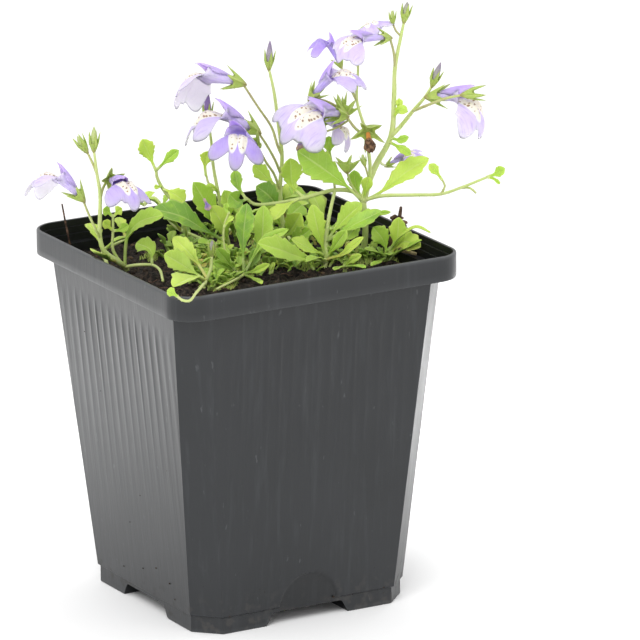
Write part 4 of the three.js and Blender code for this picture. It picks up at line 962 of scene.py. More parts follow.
def add_blade(form, points, wide, normal, teeth, petiole, random, fine=True):
    """Leaf along its rib: petiole is the stalk's share of it, and a leaf that isn't fine has
    fewer points."""
    curve = Curve(points)
    tone = random()
    wave = random() * math.tau
    cup = 0.85 + 0.5 * random()
    count = max(14, teeth * 8, min(40, int(curve.length * 1.5))) if fine else 9
    over, beneath = (OVER, BENEATH) if fine else (OVER[::2], BENEATH[::2])
    places = [(petiole * i / 4, -1 + i / 4) for i in range(4)]
    places += [(petiole + (1 - petiole) * i / count, i / count) for i in range(count)]
    rings = [[(curve.at(0) - curve.along(0) * 0.2, (-1, 0, tone), 1)]]
    for share, s in places:
        t = curve.place(share)
        centre = curve.at(t)
        along = curve.along(t)
        out = (normal - along * along.dot(normal)).normalized()
        across = along.cross(out)
        half = PETIOLE_HALF
        if s > 0:
            half = max(half, wide / 2 * leaf_outline(s) * tooth_factor(s, teeth))
        thick = lerp(0.8, BLADE_THICK, smooth(0, 0.3, s)) * smooth(1.25, 0.8, s)
        grooved = smooth(0, 0.2, s) * smooth(1, 0.8, s)

        def spot(u, lift, kind):
            fold = half * BLADE_FOLD * cup * abs(u) ** 1.35
            groove = -GROOVE_DEPTH * math.exp(-((u / GROOVE_HALF) ** 2)) * grooved
            ripple = 0.1 * half * u * u * math.sin(8.5 * s + wave + (1.4 if u > 0 else 0))
            sweep = along * (0.24 * half * u * u * (1 - s)) if s > 0 else Vector()
            place = centre + across * (u * half) + out * (fold + groove + ripple + lift) + sweep
            return place, (s, u, tone), kind

        ring = [spot(u, thick / 2 * swell(u), 0.6 if abs(u) == 1 else 1) for u in over]
        ring += [spot(u, -thick / 2 * swell(u), 0) for u in beneath]
        rings.append(ring)
    rings.append([(curve.at(1), (1, 0, tone), 1)])
    form.skin(rings)


TO_VIEWER = [0, 0.5, 0.85]
SKYWARD = [0, 1, 0.3]


def leaf(rib, wide, face=TO_VIEWER, teeth=None, petiole=0.2):
    points = [seen(p) for p in rib]
    teeth = teeth or (2 if wide < 4.5 else 3)
    normal = facing(face)
    return lambda forms, random: add_blade(forms["leaves"], points, wide, normal, teeth, petiole, random)


# Calyces and buds
def add_cup(form, foot, axis, size, spread, random, tone=0):
    """Cup with five pointed lobes; spread 1 is half open."""
    side, other = cross_axes(axis)
    tip_out = (1.7 + 1.8 * spread) * size
    tip_along = (CALYX_LOBE - 1.2 * spread) * size
    sinus_out = (1.75 + 0.2 * spread) * size
    sinus_along = (CALYX_CUP + 0.1) * size
    heel = CALYX_HEEL * size
    lean = [1 + 0.12 * (random() - 0.5) for _ in range(5)]

    def spot(i, v, inset, kind):
        turn = i / CUP_SIDES * 5 + 0.5
        lobe = turn % 1 * 2 - 1
        which = int(turn % 5)
        share = max(0, 1 - abs(lobe) / (0.66 - 0.12 * spread)) ** 0.95
        out = lerp(sinus_out, tip_out * lean[which], share)
        along = lerp(sinus_along, tip_along * lean[which], share)
        reach = max(0.05, out * v ** 0.78 * (1 + 0.04 * math.cos(lobe * math.pi)) - inset)
        place = foot + axis * (-heel + (along + heel) * v)
        place += around(side, other, i / CUP_SIDES * math.tau) * reach
        return place, (v, lobe, tone), kind

    rings = [[(foot - axis * heel, (0, 0, tone), 1)]]
    for v in (0.08, 0.18, 0.3, 0.43, 0.56, 0.69, 0.81, 0.92, 1):
        rings.append([spot(i, v, 0, 1) for i in range(CUP_SIDES)])
    for v, inset in ((0.95, 0.16), (0.8, 0.3), (0.6, 0.34)):
        rings.append([spot(i, v, inset * size, 0) for i in range(CUP_SIDES)])
    rings.append([(foot + axis * size * CALYX_HEEL, (0.4, 0, tone), 0)])
    form.skin(rings)
    for _ in range(CUP_HAIRS):
        i = int(random() * CUP_SIDES)
        place = spot(i, 0.2 + 0.75 * random(), 0.03, 1)[0]
        hair = (around(side, other, i / CUP_SIDES * math.tau) + axis * 0.5) * HAIR_LONG
        form.spike(place, hair * (0.5 + 0.5 * random()), HAIR_HALF, (0.9, 0.6, tone))


def calyx(flower, spread=1):
    foot, axis, scale = [flower[k] for k in ("foot", "axis", "scale")]
    return lambda forms, random: add_cup(forms["cups"], foot, axis, scale, spread, random)


def empty_calyx(base, toward, size=1, spread=1):
    foot = seen(base)
    axis = (seen(toward) - foot).normalized()
    return lambda forms, random: add_cup(forms["cups"], foot, axis, size, spread, random)


def add_bud(form, foot, end, size, purple, random):
    """Calyx that is still shut round a corolla with four faint keels."""
    axis = end - foot
    long = axis.length
    axis.normalize()
    add_cup(form, foot, axis, size * BUD_CALYX, 0.15, random)
    side, other = cross_axes(axis)
    start = CALYX_CUP * size * BUD_CALYX - 0.6 * size
    rings = [[(foot + axis * start, (2, 0, purple), 1)]]
    for k in range(BUD_RINGS):
        f = (k + 0.5) / (BUD_RINGS + 0.5)
        radius = 0.98 * size * (1 - f ** 2.3) ** 0.85
        centre = foot + axis * lerp(start + 0.3 * size, long, f)
        ring = []
        for angle in round_angles(BUD_SIDES):
            keel = 1 + 0.05 * math.cos(angle * 4 + 3 * f)
            place = centre + side * radius * math.cos(angle) * keel + other * radius * math.sin(angle)
            ring.append((place, (2 + f, 0, purple), 1))
        rings.append(ring)
    rings.append([(end, (3, 0, purple), 1)])
    form.skin(rings)


def bud(base, tip, size=1, purple=0.1):
    foot = seen(base)
    end = seen(tip)
    return lambda forms, random: add_bud(forms["cups"], foot, end, size, purple, random)


# Flowers
def flower_at(base, mouth, tip, upper, violet=0.25, web=8.2, droop=0.065, broad=1):
    """Places of the calyx's foot, the mouth and the tip of the lower lip, and the side of the
    upper lip as right, up and towards the viewer. web is how far out the lip's lobes are
    joined on a 12 mm lip, droop how much its sides hang, and broad narrows it."""
    foot = seen(base)
    throat = seen(mouth)
    axis = (throat - foot).normalized()
    top = facing(upper)
    top = (top - axis * top.dot(axis)).normalized()
    lip = seen(tip) - throat
    size = lip.length / LIP_LENGTH
    lip.normalize()
    side = top.cross(lip).normalized()
    return {
        "foot": foot, "throat": throat, "axis": axis, "top": top, "side": side, "lip": lip,
        "lip_up": lip.cross(side), "size": size, "scale": min(1.1, size), "violet": violet,
        "web": web, "droop": droop, "broad": broad,
    }


# Lobes of the lower lip: middle and half width in degrees, and reach
LIP_LOBES = [(0, 19, LIP_LENGTH), (37, 25, 11.2), (-37, 25, 11.2)]
WEB_HALF_ANGLE = 74
LIP_HALF_ANGLE = 62
LIP_COLUMNS = 62
LIP_SHARES = [0.05, 0.13, 0.21, 0.29, 0.37, 0.46, 0.55, 0.64, 0.73, 0.82, 0.9, 0.96]
LIP_UNDER = [0.95, 0.8, 0.6, 0.4, 0.2, 0.05]


def lip_reach(angle, web):
    reaches = [0]
    for middle, half, reach in (*LIP_LOBES, (0, WEB_HALF_ANGLE, web)):
        turn = (angle - middle) / half * 90
        if abs(turn) < 90:
            reaches.append(reach * math.cos(math.radians(turn)) ** 0.32)
    return max(reaches)


def lip_height(along, across, droop):
    """The lip arches along, hangs at its sides and bears two ridges near the mouth."""
    arch = 3.4 * (1 - ((along - 6) / 6) ** 2)
    ridge = 1.3 * math.exp(-(((abs(across) - RIDGE_ACROSS) / 0.8) ** 2))
    return arch - droop * across ** 2 + ridge * math.exp(-(((along - RIDGE_ALONG) / 2.3) ** 2))


def add_lip(form, flower, random):
    throat, side, lip, lip_up = [flower[k] for k in ("throat", "side", "lip", "lip_up")]
    size, droop, broad, tone = [flower[k] for k in ("size", "droop", "broad", "violet")]
    wave = random() * math.tau

    def on_lip(along, across):
        return throat + (lip * along + side * across * broad) * size

    def spot(angle, share, lift, kind):
        turn = math.radians(angle)
        reach = lip_reach(angle, flower["web"]) * share
        along = reach * math.cos(turn)
        across = reach * math.sin(turn)
        crease = -0.5 * math.exp(-(((abs(angle) - 17.5) / 3) ** 2)) * share ** 2
        frill = 0.3 * math.sin(angle * 0.21 + wave) * share ** 4
        height = lip_height(along, across, droop) - LIP_SUNK + crease + frill
        return on_lip(along, across) + lip_up * (height * size + lift), (along, across, tone), kind

    rings = []
    for k in range(LIP_COLUMNS + 1):
        angle = lerp(-LIP_HALF_ANGLE, LIP_HALF_ANGLE, k / LIP_COLUMNS)
        lift = 0 if k in (0, LIP_COLUMNS) else LIP_THICK / 2
        ring = [spot(angle, share, lift * (1 - share ** 5), 1) for share in LIP_SHARES]
        ring.append(spot(angle, 1, 0, 0.7))
        ring += [spot(angle, share, -lift * (1 - share ** 5), 0) for share in LIP_UNDER]
        rings.append(ring)
    form.skin(rings)
    for _ in range(LIP_HAIRS):
        along = 1.2 + 4.8 * random()
        across = (RIDGE_ACROSS + 0.7 * (random() - 0.5)) * (1 if random() > 0.5 else -1)
        foot = on_lip(along, across) + lip_up * ((lip_height(along, across, droop) - LIP_SUNK) * size)
        hair = lip_up * 0.45 + (lip * (random() - 0.5) + side * (random() - 0.5)) * 0.3
        form.spike(foot, hair, HAIR_HALF, (20, 0, 0), 2)


# Rings past the tube's mouth: along, half width, half height, shown place and share of flare
TUBE_MOUTH = [
  (0.9, 2.8, 1.95, 5, 0.5), (1.2, 2.9, 1.9, 6, 1), (0.9, 2.5, 1.6, 7, 0.7), (-1.2, 1.8, 1.2, 8, 0),
]


def add_neck(form, flower):
    """Tube that widens from the calyx and runs on under the lower lip."""
    foot, throat, axis, top = [flower[k] for k in ("foot", "throat", "axis", "top")]
    side, lip, lip_up, scale = [flower[k] for k in ("side", "lip", "lip_up", "scale")]
    length = (throat - foot).length
    tone = flower["violet"]

    def ring(along, wide, high, shown, flare=0):
        spots = []
        for angle in round_angles(TUBE_SIDES):
            u, v = math.cos(angle), math.sin(angle)
            place = foot + axis * along + side * wide * u - top * high * v
            if flare and v > 0:
                out = 3.6 * (1 - 0.3 * u * u)
                drop = lip_height(out, 4.4 * u, flower["droop"]) - 1.1
                under = throat + (lip * out + side * 4.4 * u + lip_up * drop) * flower["size"]
                place = place.lerp(under, flare * v ** 0.6)
            spots.append((place, (shown, 3 * u, tone), 2))
        return spots

    rings = [[(foot + axis * 2.2 * scale, (0, 0, tone), 2)]]
    for k in range(9):
        f = k / 8
        widen = f ** 1.3
        along = lerp(2.4 * scale, length + 0.4 * scale, f)
        rings.append(ring(along, lerp(0.85, 2.6, widen) * scale, lerp(0.85, 1.9, widen) * scale, 4 * f))
    for along, wide, high, shown, flare in TUBE_MOUTH:
        rings.append(ring(length + along * scale, wide * scale, high * scale, shown, flare))
    rings.append([(foot + axis * (length - 2.4 * scale), (8, 0, tone), 2)])
    form.skin(rings)


# Ridge of the hood, along the tube from its mouth and up from its axis
HOOD_RIDGE = [(-4.2, 1.2), (-1.2, 2.0), (2.2, 2.3), (5.5, 2.3)]
HOOD_RINGS = 20


def add_hood(form, flower):
    """Upper lip: a hood that hugs the tube and narrows to two points."""
    throat, axis, top, scale, tone = [flower[k] for k in ("throat", "axis", "top", "scale", "violet")]
    curve = Curve([throat + axis * along * scale + top * up * scale for along, up in HOOD_RIDGE])
    rings = [[(curve.at(0), (0, 0, tone), 3)]]
    for k in range(HOOD_RINGS + 1):
        s = 0.02 + 0.98 * k / HOOD_RINGS
        t = curve.place(min(s, 0.995))
        along = curve.along(t)
        out = (-top + along * along.dot(top)).normalized()
        across = along.cross(out)
        half = lerp(0.7, 2.5, smooth(0, 0.42, s)) * lerp(1, 0.3, smooth(0.45, 1, s)) * scale
        bend = lerp(0.75, 0.4, smooth(0.4, 1, s))
        thick = 0.4 * smooth(1.02, 0.85, s)

        def spot(u, lift):
            notch = along * (-1.2 * scale * (1 - abs(u)) * smooth(0.8, 1, s))
            place = curve.at(t) + across * (u * half) + out * (half * bend * abs(u) ** 1.7 + lift) + notch
            return place, (4 + 6 * s, 2 * u, tone), 3

        ring = [spot(u, -thick / 2 * swell(u)) for u in OVER[::2]]
        rings.append(ring + [spot(u, thick / 2 * swell(u)) for u in BENEATH])
    form.skin(rings)


def make_flower(key, flower, seed):
    node = f"flower_{key}"
    lip = Form()
    add_lip(lip, flower, seeded_random(seed))
    lip.piece(node + "_lip", PETAL, "petals", [node])
    tube = Form()
    add_neck(tube, flower)
    add_hood(tube, flower)
    tube.piece(node + "_tube", PETAL, "petals", [node])


def spray(name, parts):
    """Leaves, stems and calyces of one plant, each kind in a piece of its own."""
    random = seeded_random(17 + sum(map(ord, name)))
    random()
    forms = {"leaves": Form(), "stems": Form(), "cups": Form()}
    for part in parts:
        part(forms, random)
    for kind, look in (("leaves", LEAF), ("stems", STEM), ("cups", CUP)):
        if forms[kind].points:
            forms[kind].piece(f"{name}_{kind}", look, "foliage", [name])


FLOWERS = {
  "a": flower_at([83, 200, -16], [64, 180, -17], [24, 194, -18], [-0.3, 1, 0]),
  "c": flower_at([108, 179, -4], [119, 183, -11], [136, 210, -20], [0.2, 1, 0.2], 0.6, web=10.3),
  "l": flower_at([243, 84, 12], [214, 76, 11], [174, 107, 9], [-0.4, 1, -0.4], 0.15, web=10.6),
  "o": flower_at([258, 132, 9], [228, 115, 7], [184, 144, 6], [-0.4, 1, 0.1], 0.3),
  "p": flower_at([258, 147, 6], [238, 133, -5], [235, 170, -14], [-0.2, 1, 0.2], 0.75),
  "q": flower_at([346, 116, 8], [320, 109, 4], [281, 143, -2], [-0.2, 0.9, 0.4], web=10.3),
  "r": flower_at([322, 119, 21], [335, 124, 16], [347, 152, 12], [0.3, 1, -0.2], 0.3),
  "s": flower_at([310, 99, 7], [330, 76, 5], [367, 88, 3], [-1, 0.5, -0.1], 0.5,
    web=10.6, droop=0.05, broad=0.6),
  "t": flower_at([390, 38, 9], [361, 37, 5], [337, 62, 2], [0, 1, 0.3], 0.35, web=10.5),
  "u": flower_at([341, 67, 13], [330, 44, 14], [306, 52, 15], [0.3, 1, 0], 0.85),
  "v": flower_at([358, 33, 21], [372, 30, 18], [376, 35, 8], [0.25, 1, 0.3], 0.45, web=9.5, droop=0.03),
  "y": flower_at([428, 97, 5], [457, 95, 3], [482, 138, 2], [0.5, 0.8, 0.2], web=9.8),
  "z": flower_at([386, 166, 24], [402, 157, 24], [424, 158, 22], [0, 1, 0.2], 0.5),
}

# Left-hand crown with two flowers and two buds
spray("spray_left", [
  rooted([ground(126, 269), [118, 262, -4], [104, 251, -8], [100, 238, -9], [100, 215, -9],
    [100, 193, -9], [97, 174, -9], [94, 151, -9]], 2.2, 0.8),
  stem([[97, 174, -9], [93, 164, -8.5], [87, 152, -8]], 0.9, 0.7),
  stem([[100, 238, -9], [96, 230, -12], [89, 215, -14], [83, 200, -16]], 0.9, 0.7),
  stem([[100, 200, -9], [103, 188, -6], [108, 179, -4]], 0.9, 0.8),
  calyx(FLOWERS["a"]),
  calyx(FLOWERS["c"], 1.3),
  bud([94, 151, -9], [94, 126, -9]),
  bud([87, 152, -8], [77, 136, -8]),
  leaf([[118, 262, -4], [106, 258, -10], [91, 250, -16]], 5.5, SKYWARD),
  stem([[125, 268, -1], [113, 250, -3], [113, 232, -3], [113, 215, -3]], 1.1, 0.8),
  leaf([[113, 217, -3], [109, 213, -3], [103, 209, -4]], 3.4),
  leaf([[113, 217, -3], [117, 213, -3], [122, 208, -4]], 3.4),
  leaf([[113, 231, -3], [108, 226, -4], [103, 221, -5]], 3.2),
  leaf([[113, 231, -3], [120, 230, -4], [129, 225, -5]], 3.2),
  leaf([[125, 267, -1], [128, 236, -3], [140, 222, -4], [164, 215, -5]], 7, [-0.5, 0.8, 0.6], 4, 0.35),
  stem([[125, 267, -1], [138, 265, -4], [152, 265, -5], [159, 269, -8], [163, 281, -17]], 1.1, 0.9),
  leaf([[152, 265, -5], [150, 250, -2], [136, 243, 0]], 6.5, [0.4, 0.6, 0.7]),
])

spray("spray_left_back", [
  rooted([ground(186, 246), [184, 225, 20], [174, 203, 21], [163, 189, 22], [157, 177, 22], [156, 168, 22]],
    1.6, 0.9),
  leaf([[156, 171, 22], [150, 157, 22], [142, 139, 21]], 5.4, TO_VIEWER, 4),
  leaf([[157, 170, 22], [164, 163, 21], [179, 150, 20]], 3.6),
  leaf([[163, 189, 22], [174, 194, 19], [185, 202, 18]], 5.4),
  leaf([[161, 186, 22], [158, 187, 21], [154, 187, 21]], 1.6, TO_VIEWER, 1),
  leaf([[184, 225, 20], [176, 218, 22], [166, 212, 25]], 5),
])

spray("spray_mid_left", [
  rooted([ground(229, 252), [228, 243, 15], [224, 224, 16], [218, 192, 17], [213, 164, 18], [211, 139, 18],
    [208, 121, 18]], 1.7, 0.7),
  bud([208, 121, 18], [207, 87, 18], purple=1),
  stem([[218, 192, 17], [209, 184, 18], [206, 174, 20]], 0.8, 0.7),
  leaf([[206, 176, 19.5], [205, 165, 20], [208, 151, 20]], 4, TO_VIEWER, 3, 0.3),
  leaf([[210, 132, 18], [203, 127, 17.5], [195, 125, 17]], 2.6, TO_VIEWER, 1),
  leaf([[228, 243, 15], [206, 231, 11], [182, 217, 8], [153, 209, 6]], 8.5, [-0.1, 0.8, 0.6], 4, 0.2),
  leaf([[228, 243, 15], [216, 222, 13], [204, 200, 12], [193, 182, 11]], 7.6, [0.2, 0.5, 0.8], 4, 0.2),
  leaf([[228, 245, 15], [223, 226, 10], [211, 206, 9]], 7, [0.3, 0.5, 0.8], 4),
  leaf([[224, 224, 16], [229, 208, 14], [224, 190, 14]], 5.4, [0.4, 0.4, 0.8], 3),
  leaf([[218, 192, 17], [213, 188, 15], [205, 189, 14]], 3),
  leaf([[228, 246, 15], [215, 244, 8], [198, 243, 3]], 5, SKYWARD),
])

spray("raceme_left", [
  rooted([ground(282, 254), [282, 240, 14.5], [282, 225, 15], [280, 190, 16], [282, 156, 16], [278, 122, 15],
    [274, 92, 15], [269, 69, 15]], 2, 0.8),
  stem([[282, 156, 16], [277, 144, 15], [272, 128, 15], [258, 107, 13], [243, 84, 12]], 0.9, 0.7),
  stem([[280, 172, 16], [275, 160, 14], [266, 144, 11], [258, 132, 9]], 0.9, 0.7),
  stem([[280, 190, 16], [274, 174, 13], [266, 162, 9], [258, 147, 6]], 0.9, 0.7),
  calyx(FLOWERS["l"]),
  calyx(FLOWERS["o"]),
  calyx(FLOWERS["p"]),
  bud([269, 69, 15], [270, 40, 15], purple=0.7),
  leaf([[280, 190, 16], [266, 177, 18], [253, 165, 19]], 5),
  leaf([[282, 214, 15], [270, 197, 12], [256, 186, 11]], 7.4, [-0.2, 0.6, 0.7], 4),
  leaf([[282, 225, 15], [291, 215, 18], [302, 205, 22]], 7),
  leaf([[282, 228, 15], [274, 216, 12], [262, 207, 11]], 7, TO_VIEWER, 4),
  leaf([[282, 240, 14.5], [292, 228, 10], [301, 213, 8]], 7, TO_VIEWER, 4),
  leaf([[282, 242, 14], [268, 236, 9], [250, 232, 6]], 6.4, SKYWARD, 3),
  leaf([[282, 246, 14], [296, 240, 9], [311, 229, 6]], 6, TO_VIEWER, 3),
  leaf([[282, 247, 14], [270, 248, 6], [262, 253, -2]], 5, SKYWARD),
])

# Centre and right: the crown whose runners arch out to both sides, and its racemes
spray("spray_right", [
  rooted([ground(362, 257), [365, 240, 10], [365, 220, 10], [363, 200, 10]], 2, 2),
  stem([[363, 202, 10], [354, 192, 9.5], [335, 190, 9], [304, 198, 8], [270, 204, 7], [254, 204, 6.5],
    [246, 198, 6]], 1.5, 1),
  rooted([ground(325, 268), [326, 258, 0], [326, 242, 3], [329, 217, 6], [335, 190, 9]], 1.5, 1.1),
  leaf([[247, 199, 6], [238, 202, 3], [229, 194, 1]], 6.4),
  leaf([[246, 199, 6], [238, 186, 8], [235, 170, 10]], 3.8),
  leaf([[304, 198, 8], [293, 186, 12], [290, 158, 12]], 7, [0.2, 0.4, 0.9], 4, 0.25),
  leaf([[299, 199, 8], [284, 208, 3], [272, 221, -1]], 5.6, [-0.3, 0.8, 0.5]),
  leaf([[362, 201, 10], [346, 186, 7], [322, 168, 5], [297, 151, 4]], 10, [0.1, 0.5, 0.9], 4, 0.25),
  leaf([[364, 202, 10], [384, 190, 12], [404, 174, 14], [429, 158, 16]], 7.4, [-0.2, 0.7, 0.7], 4, 0.2),
  leaf([[326, 242, 3], [350, 227, 1], [382, 211, 1]], 5.6, [-0.2, 0.7, 0.7], 4, 0.2),
  leaf([[326, 242, 3], [340, 224, 5], [362, 203, 5]], 6.6, [-0.2, 0.5, 0.8], 4, 0.2),
  leaf([[326, 258, 0], [335, 246, -3], [347, 230, -4]], 4),
  leaf([[326, 260, 0], [343, 254, -5], [364, 237, -8]], 3.4, [-0.5, 0.6, 0.6]),
  leaf([[326, 258, 0], [319, 234, -3], [312, 204, -3]], 5.6, TO_VIEWER, 4),
  leaf([[326, 256, 0.5], [312, 250, -4], [291, 239, -5]], 5.4, [0.2, 0.8, 0.5], 4),
  leaf([[326, 262, -0.5], [303, 258, -9], [280, 250, -15], [257, 243, -18]], 8, [0.1, 0.7, 0.7], 4, 0.2),
  leaf([[326, 261, 0], [316, 258, -10], [306, 262, -16]], 3.4, SKYWARD),
  leaf([[326, 242, 3], [317, 228, 8], [303, 224, 13]], 5, TO_VIEWER),
  leaf([[363, 200, 10], [356, 186, 13], [354, 170, 14]], 4.6),
  leaf([[365, 220, 10], [356, 226, 5], [346, 240, 1]], 4.6, [0.3, 0.7, 0.6]),
  leaf([[365, 220, 10], [378, 214, 8], [391, 212, 7]], 1.6, TO_VIEWER, 1),
  stem([[335, 190, 9], [333, 172, 12], [331, 158, 12]], 0.8, 0.7),
  leaf([[331, 160, 12], [329, 149, 12], [329, 136, 12]], 4.6, TO_VIEWER, 3, 0.25),
  stem([[364, 200, 10], [380, 196, 10], [415, 195, 8], [441, 194, 5], [460, 188, 2.5], [490, 176, -1]],
    1.3, 0.8),
  leaf([[487, 177, -0.7], [496, 174, -1], [505, 168, -2]], 3.4, TO_VIEWER, 2, 0.15),
  leaf([[487, 177, -0.7], [494, 179, -1], [500, 184, -1]], 1.2, TO_VIEWER, 1),
  stem([[460, 188, 2.5], [470, 188, 2], [476, 193, 2]], 0.8, 0.6),
  stem([[441, 194, 5], [445, 186, 5], [441, 178, 5]], 0.8, 0.6),
  leaf([[442, 180, 5], [437, 173, 5], [429, 164, 5]], 3.2, TO_VIEWER, 2, 0.15),
  stem([[363, 202, 10], [369, 181, 11], [376, 165, 12], [391, 136, 12], [394, 98, 12], [395, 68, 12],
    [401, 36, 12], [404, 22, 12]], 2.4, 0.8),
  bud([404, 22, 12], [407.5, 1.5, 12.5], purple=0.4),
  stem([[401, 36, 12], [396, 31, 12], [393, 24, 12]], 0.7, 0.6),
  bud([393, 24, 12], [392, 10, 12], 0.7),
  stem([[395, 68, 12], [394, 54, 11], [390, 38, 9]], 0.9, 0.7),
  calyx(FLOWERS["t"]),
  stem([[391, 136, 12], [400, 127, 12], [413, 111, 9], [425, 97, 6], [432, 86, 5]], 1.6, 0.8),
  bud([432, 86, 5], [441, 62, 4], purple=0.6),
  stem([[425, 97, 6], [428, 97, 5]], 1, 0.8),
  calyx(FLOWERS["y"]),
  stem([[413, 111, 9], [428, 105, 2], [447, 98, -1], [463, 95, -2]], 1, 0.8),
  empty_calyx([463, 95, -2], [488, 92, -3], 1.05, 0.3),
  leaf([[394, 112, 12], [399, 106, 11], [399, 98, 11]], 2.2, TO_VIEWER, 1),
  leaf([[393, 118, 12], [400, 110, 10], [408, 112, 9]], 3, TO_VIEWER, 1),
  leaf([[391, 138, 12], [400, 140, 9], [409, 137, 8]], 2.6),
  leaf([[389, 142, 12], [400, 148, 9], [411, 155, 9]], 2.8),
  stem([[365, 197, 10.5], [369, 181, 8.5], [370, 165, 8], [366, 136, 8.3], [364, 126, 8.5], [357, 101, 9],
    [358, 70, 13], [358, 33, 21]], 1.3, 0.7),
  calyx(FLOWERS["v"], 0.55),
  stem([[357, 101, 9], [350, 87, 10.5], [341, 67, 13]], 0.9, 0.7),
  calyx(FLOWERS["u"]),
  stem([[366, 136, 8.3], [356, 129, 8], [346, 116, 8]], 1, 0.8),
  calyx(FLOWERS["q"], 1.2),
  stem([[349, 120, 8], [336, 106, 10], [322, 100, 9], [310, 99, 7]], 0.8, 0.7),
  calyx(FLOWERS["s"]),
  stem([[349, 120, 8], [340, 114, 17], [328, 114, 21], [322, 119, 21]], 0.8, 0.7),
  calyx(FLOWERS["r"]),
  empty_calyx([342, 113, 10.5], [333, 94, 11], 0.95, 1.2),
  empty_calyx([345, 115, 10], [353, 96, 12], 0.9, 1.2),
  stem([[364, 126, 8.5], [367, 128, 7]], 0.8, 0.7),
  empty_calyx([367, 128, 7], [369, 139, 2], 1, 1.9),
  stem([[349, 120, 8], [336, 128, 9.5], [324, 132, 9]], 0.7, 0.6),
  empty_calyx([324, 132, 9], [312, 138, 8], 0.8, 0.6),
  leaf([[364, 199, 10], [366, 188, 8], [369, 176, 7]], 3.6, TO_VIEWER, 1),
  stem([[362, 200, 10], [351, 184, 8.5], [347, 171, 7]], 0.8, 0.7),
  empty_calyx([347, 171, 7], [347, 158, 7], 0.8, 1.8),
  stem([[369, 181, 8.5], [367, 172, 6], [365, 166, 5]], 0.7, 0.6),
  bud([365, 166, 5], [362, 154, 5], 0.6),
  stem([[379, 160, 12], [382, 164, 18], [386, 166, 24]], 0.9, 0.7),
  calyx(FLOWERS["z"]),
])

spray("spray_front", [
  rooted([ground(244, 278), [244, 272, -11]], 2, 1.6),
  leaf([[244, 275, -11], [243, 243, -10], [247, 203, -9]], 6, TO_VIEWER, 4, 0.25),
  leaf([[244, 275, -11], [253, 262, -8], [258, 247, -7]], 3.8),
  leaf([[244, 275, -11], [260, 248, -4], [264, 205, -1]], 6.4, TO_VIEWER, 4, 0.3),
  leaf([[244, 274, -11], [264, 242, -8], [289, 229, -8]], 3.4),
  leaf([[244, 274, -11], [258, 270, -16], [270, 264, -18]], 2.6),
  leaf([[244, 275, -11], [256, 280, -20], [262, 284, -27]], 2.4, SKYWARD),
  stem([[244, 275, -11], [235, 271, -12], [228, 260, -13], [224, 244, -13], [224, 227, -13], [229, 212, -13]],
    0.9, 0.7),
  leaf([[224, 227, -13], [229, 220, -13], [234, 217, -13]], 1.8, TO_VIEWER, 1),
  leaf([[229, 214, -13], [226, 209, -13], [227, 203, -13]], 1.8, TO_VIEWER, 1),
  leaf([[235, 271, -12], [224, 266, -14], [213, 262, -15]], 3),
  leaf([[235, 271, -12], [227, 261, -15], [216, 248, -17]], 3.8),
  stem([[244, 275, -11], [233, 281, -22], [217, 289, -32]], 1, 0.8),
])

spray("spray_front_left", [
  rooted([ground(204, 286), [207, 279, -20], [211, 268, -20], [212, 255, -20]], 1.6, 0.8),
  bud([212, 256, -20], [212, 240, -20], 0.8, purple=0.5),
  stem([[206, 281, -20], [205, 284, -36], [203, 285, -52], [196, 293, -62], [189, 301, -66], [182, 300, -66],
    [177, 296, -65]], 1, 0.8),
  leaf([[178, 297, -65], [174, 294, -65], [167, 290, -65]], 3, TO_VIEWER, 2, 0.1),
  leaf([[206, 281, -20], [195, 277, -34], [184, 281, -48], [173, 287, -56]], 7.6, [0, 0.9, 0.4], 4),
  leaf([[206, 281, -20], [184, 266, -18], [164, 254, -18]], 7.4, [0, 0.7, 0.7], 4),
  leaf([[207, 278, -20], [192, 256, -10], [173, 237, -6]], 5.6, TO_VIEWER, 4, 0.35),
])

spray("rosette_right", [
  rooted([ground(385, 263), [387, 258, 5], [388, 252, 5]], 1.8, 1.4),
  leaf([[387, 258, 5], [396, 242, 3], [399, 217, 2]], 5.4, TO_VIEWER, 3, 0.25),
  leaf([[387, 258, 5], [384, 242, 4], [373, 227, 3]], 6, TO_VIEWER, 4, 0.25),
  leaf([[387, 257, 5], [403, 242, 2], [421, 247, -2]], 6, TO_VIEWER, 4),
  leaf([[387, 258, 5], [404, 249, 0], [422, 240, -4]], 3.4, SKYWARD),
  leaf([[387, 258, 5], [376, 252, 1], [364, 249, -1]], 3.6, SKYWARD),
  leaf([[387, 258, 5], [388, 254, -1], [390, 255, -8]], 3, SKYWARD),
  leaf([[387, 258, 5], [379, 262, -4], [371, 266, -11]], 2.4, SKYWARD),
  leaf([[388, 253, 5], [401, 236, 0], [416, 227, -1], [431, 233, -2]], 1.6, SKYWARD, 1),
])

spray("sprout_front", [
  rooted([ground(345, 272), [345, 266, -6]], 1.4, 1.2),
  leaf([[345, 267, -6], [352, 260, -10], [362, 255, -12]], 2.6),
  leaf([[345, 267, -6], [338, 268, -12], [334, 270, -17]], 2.4, SKYWARD),
  leaf([[345, 267, -6], [356, 266, -13], [366, 268, -18]], 2.4, SKYWARD),
])


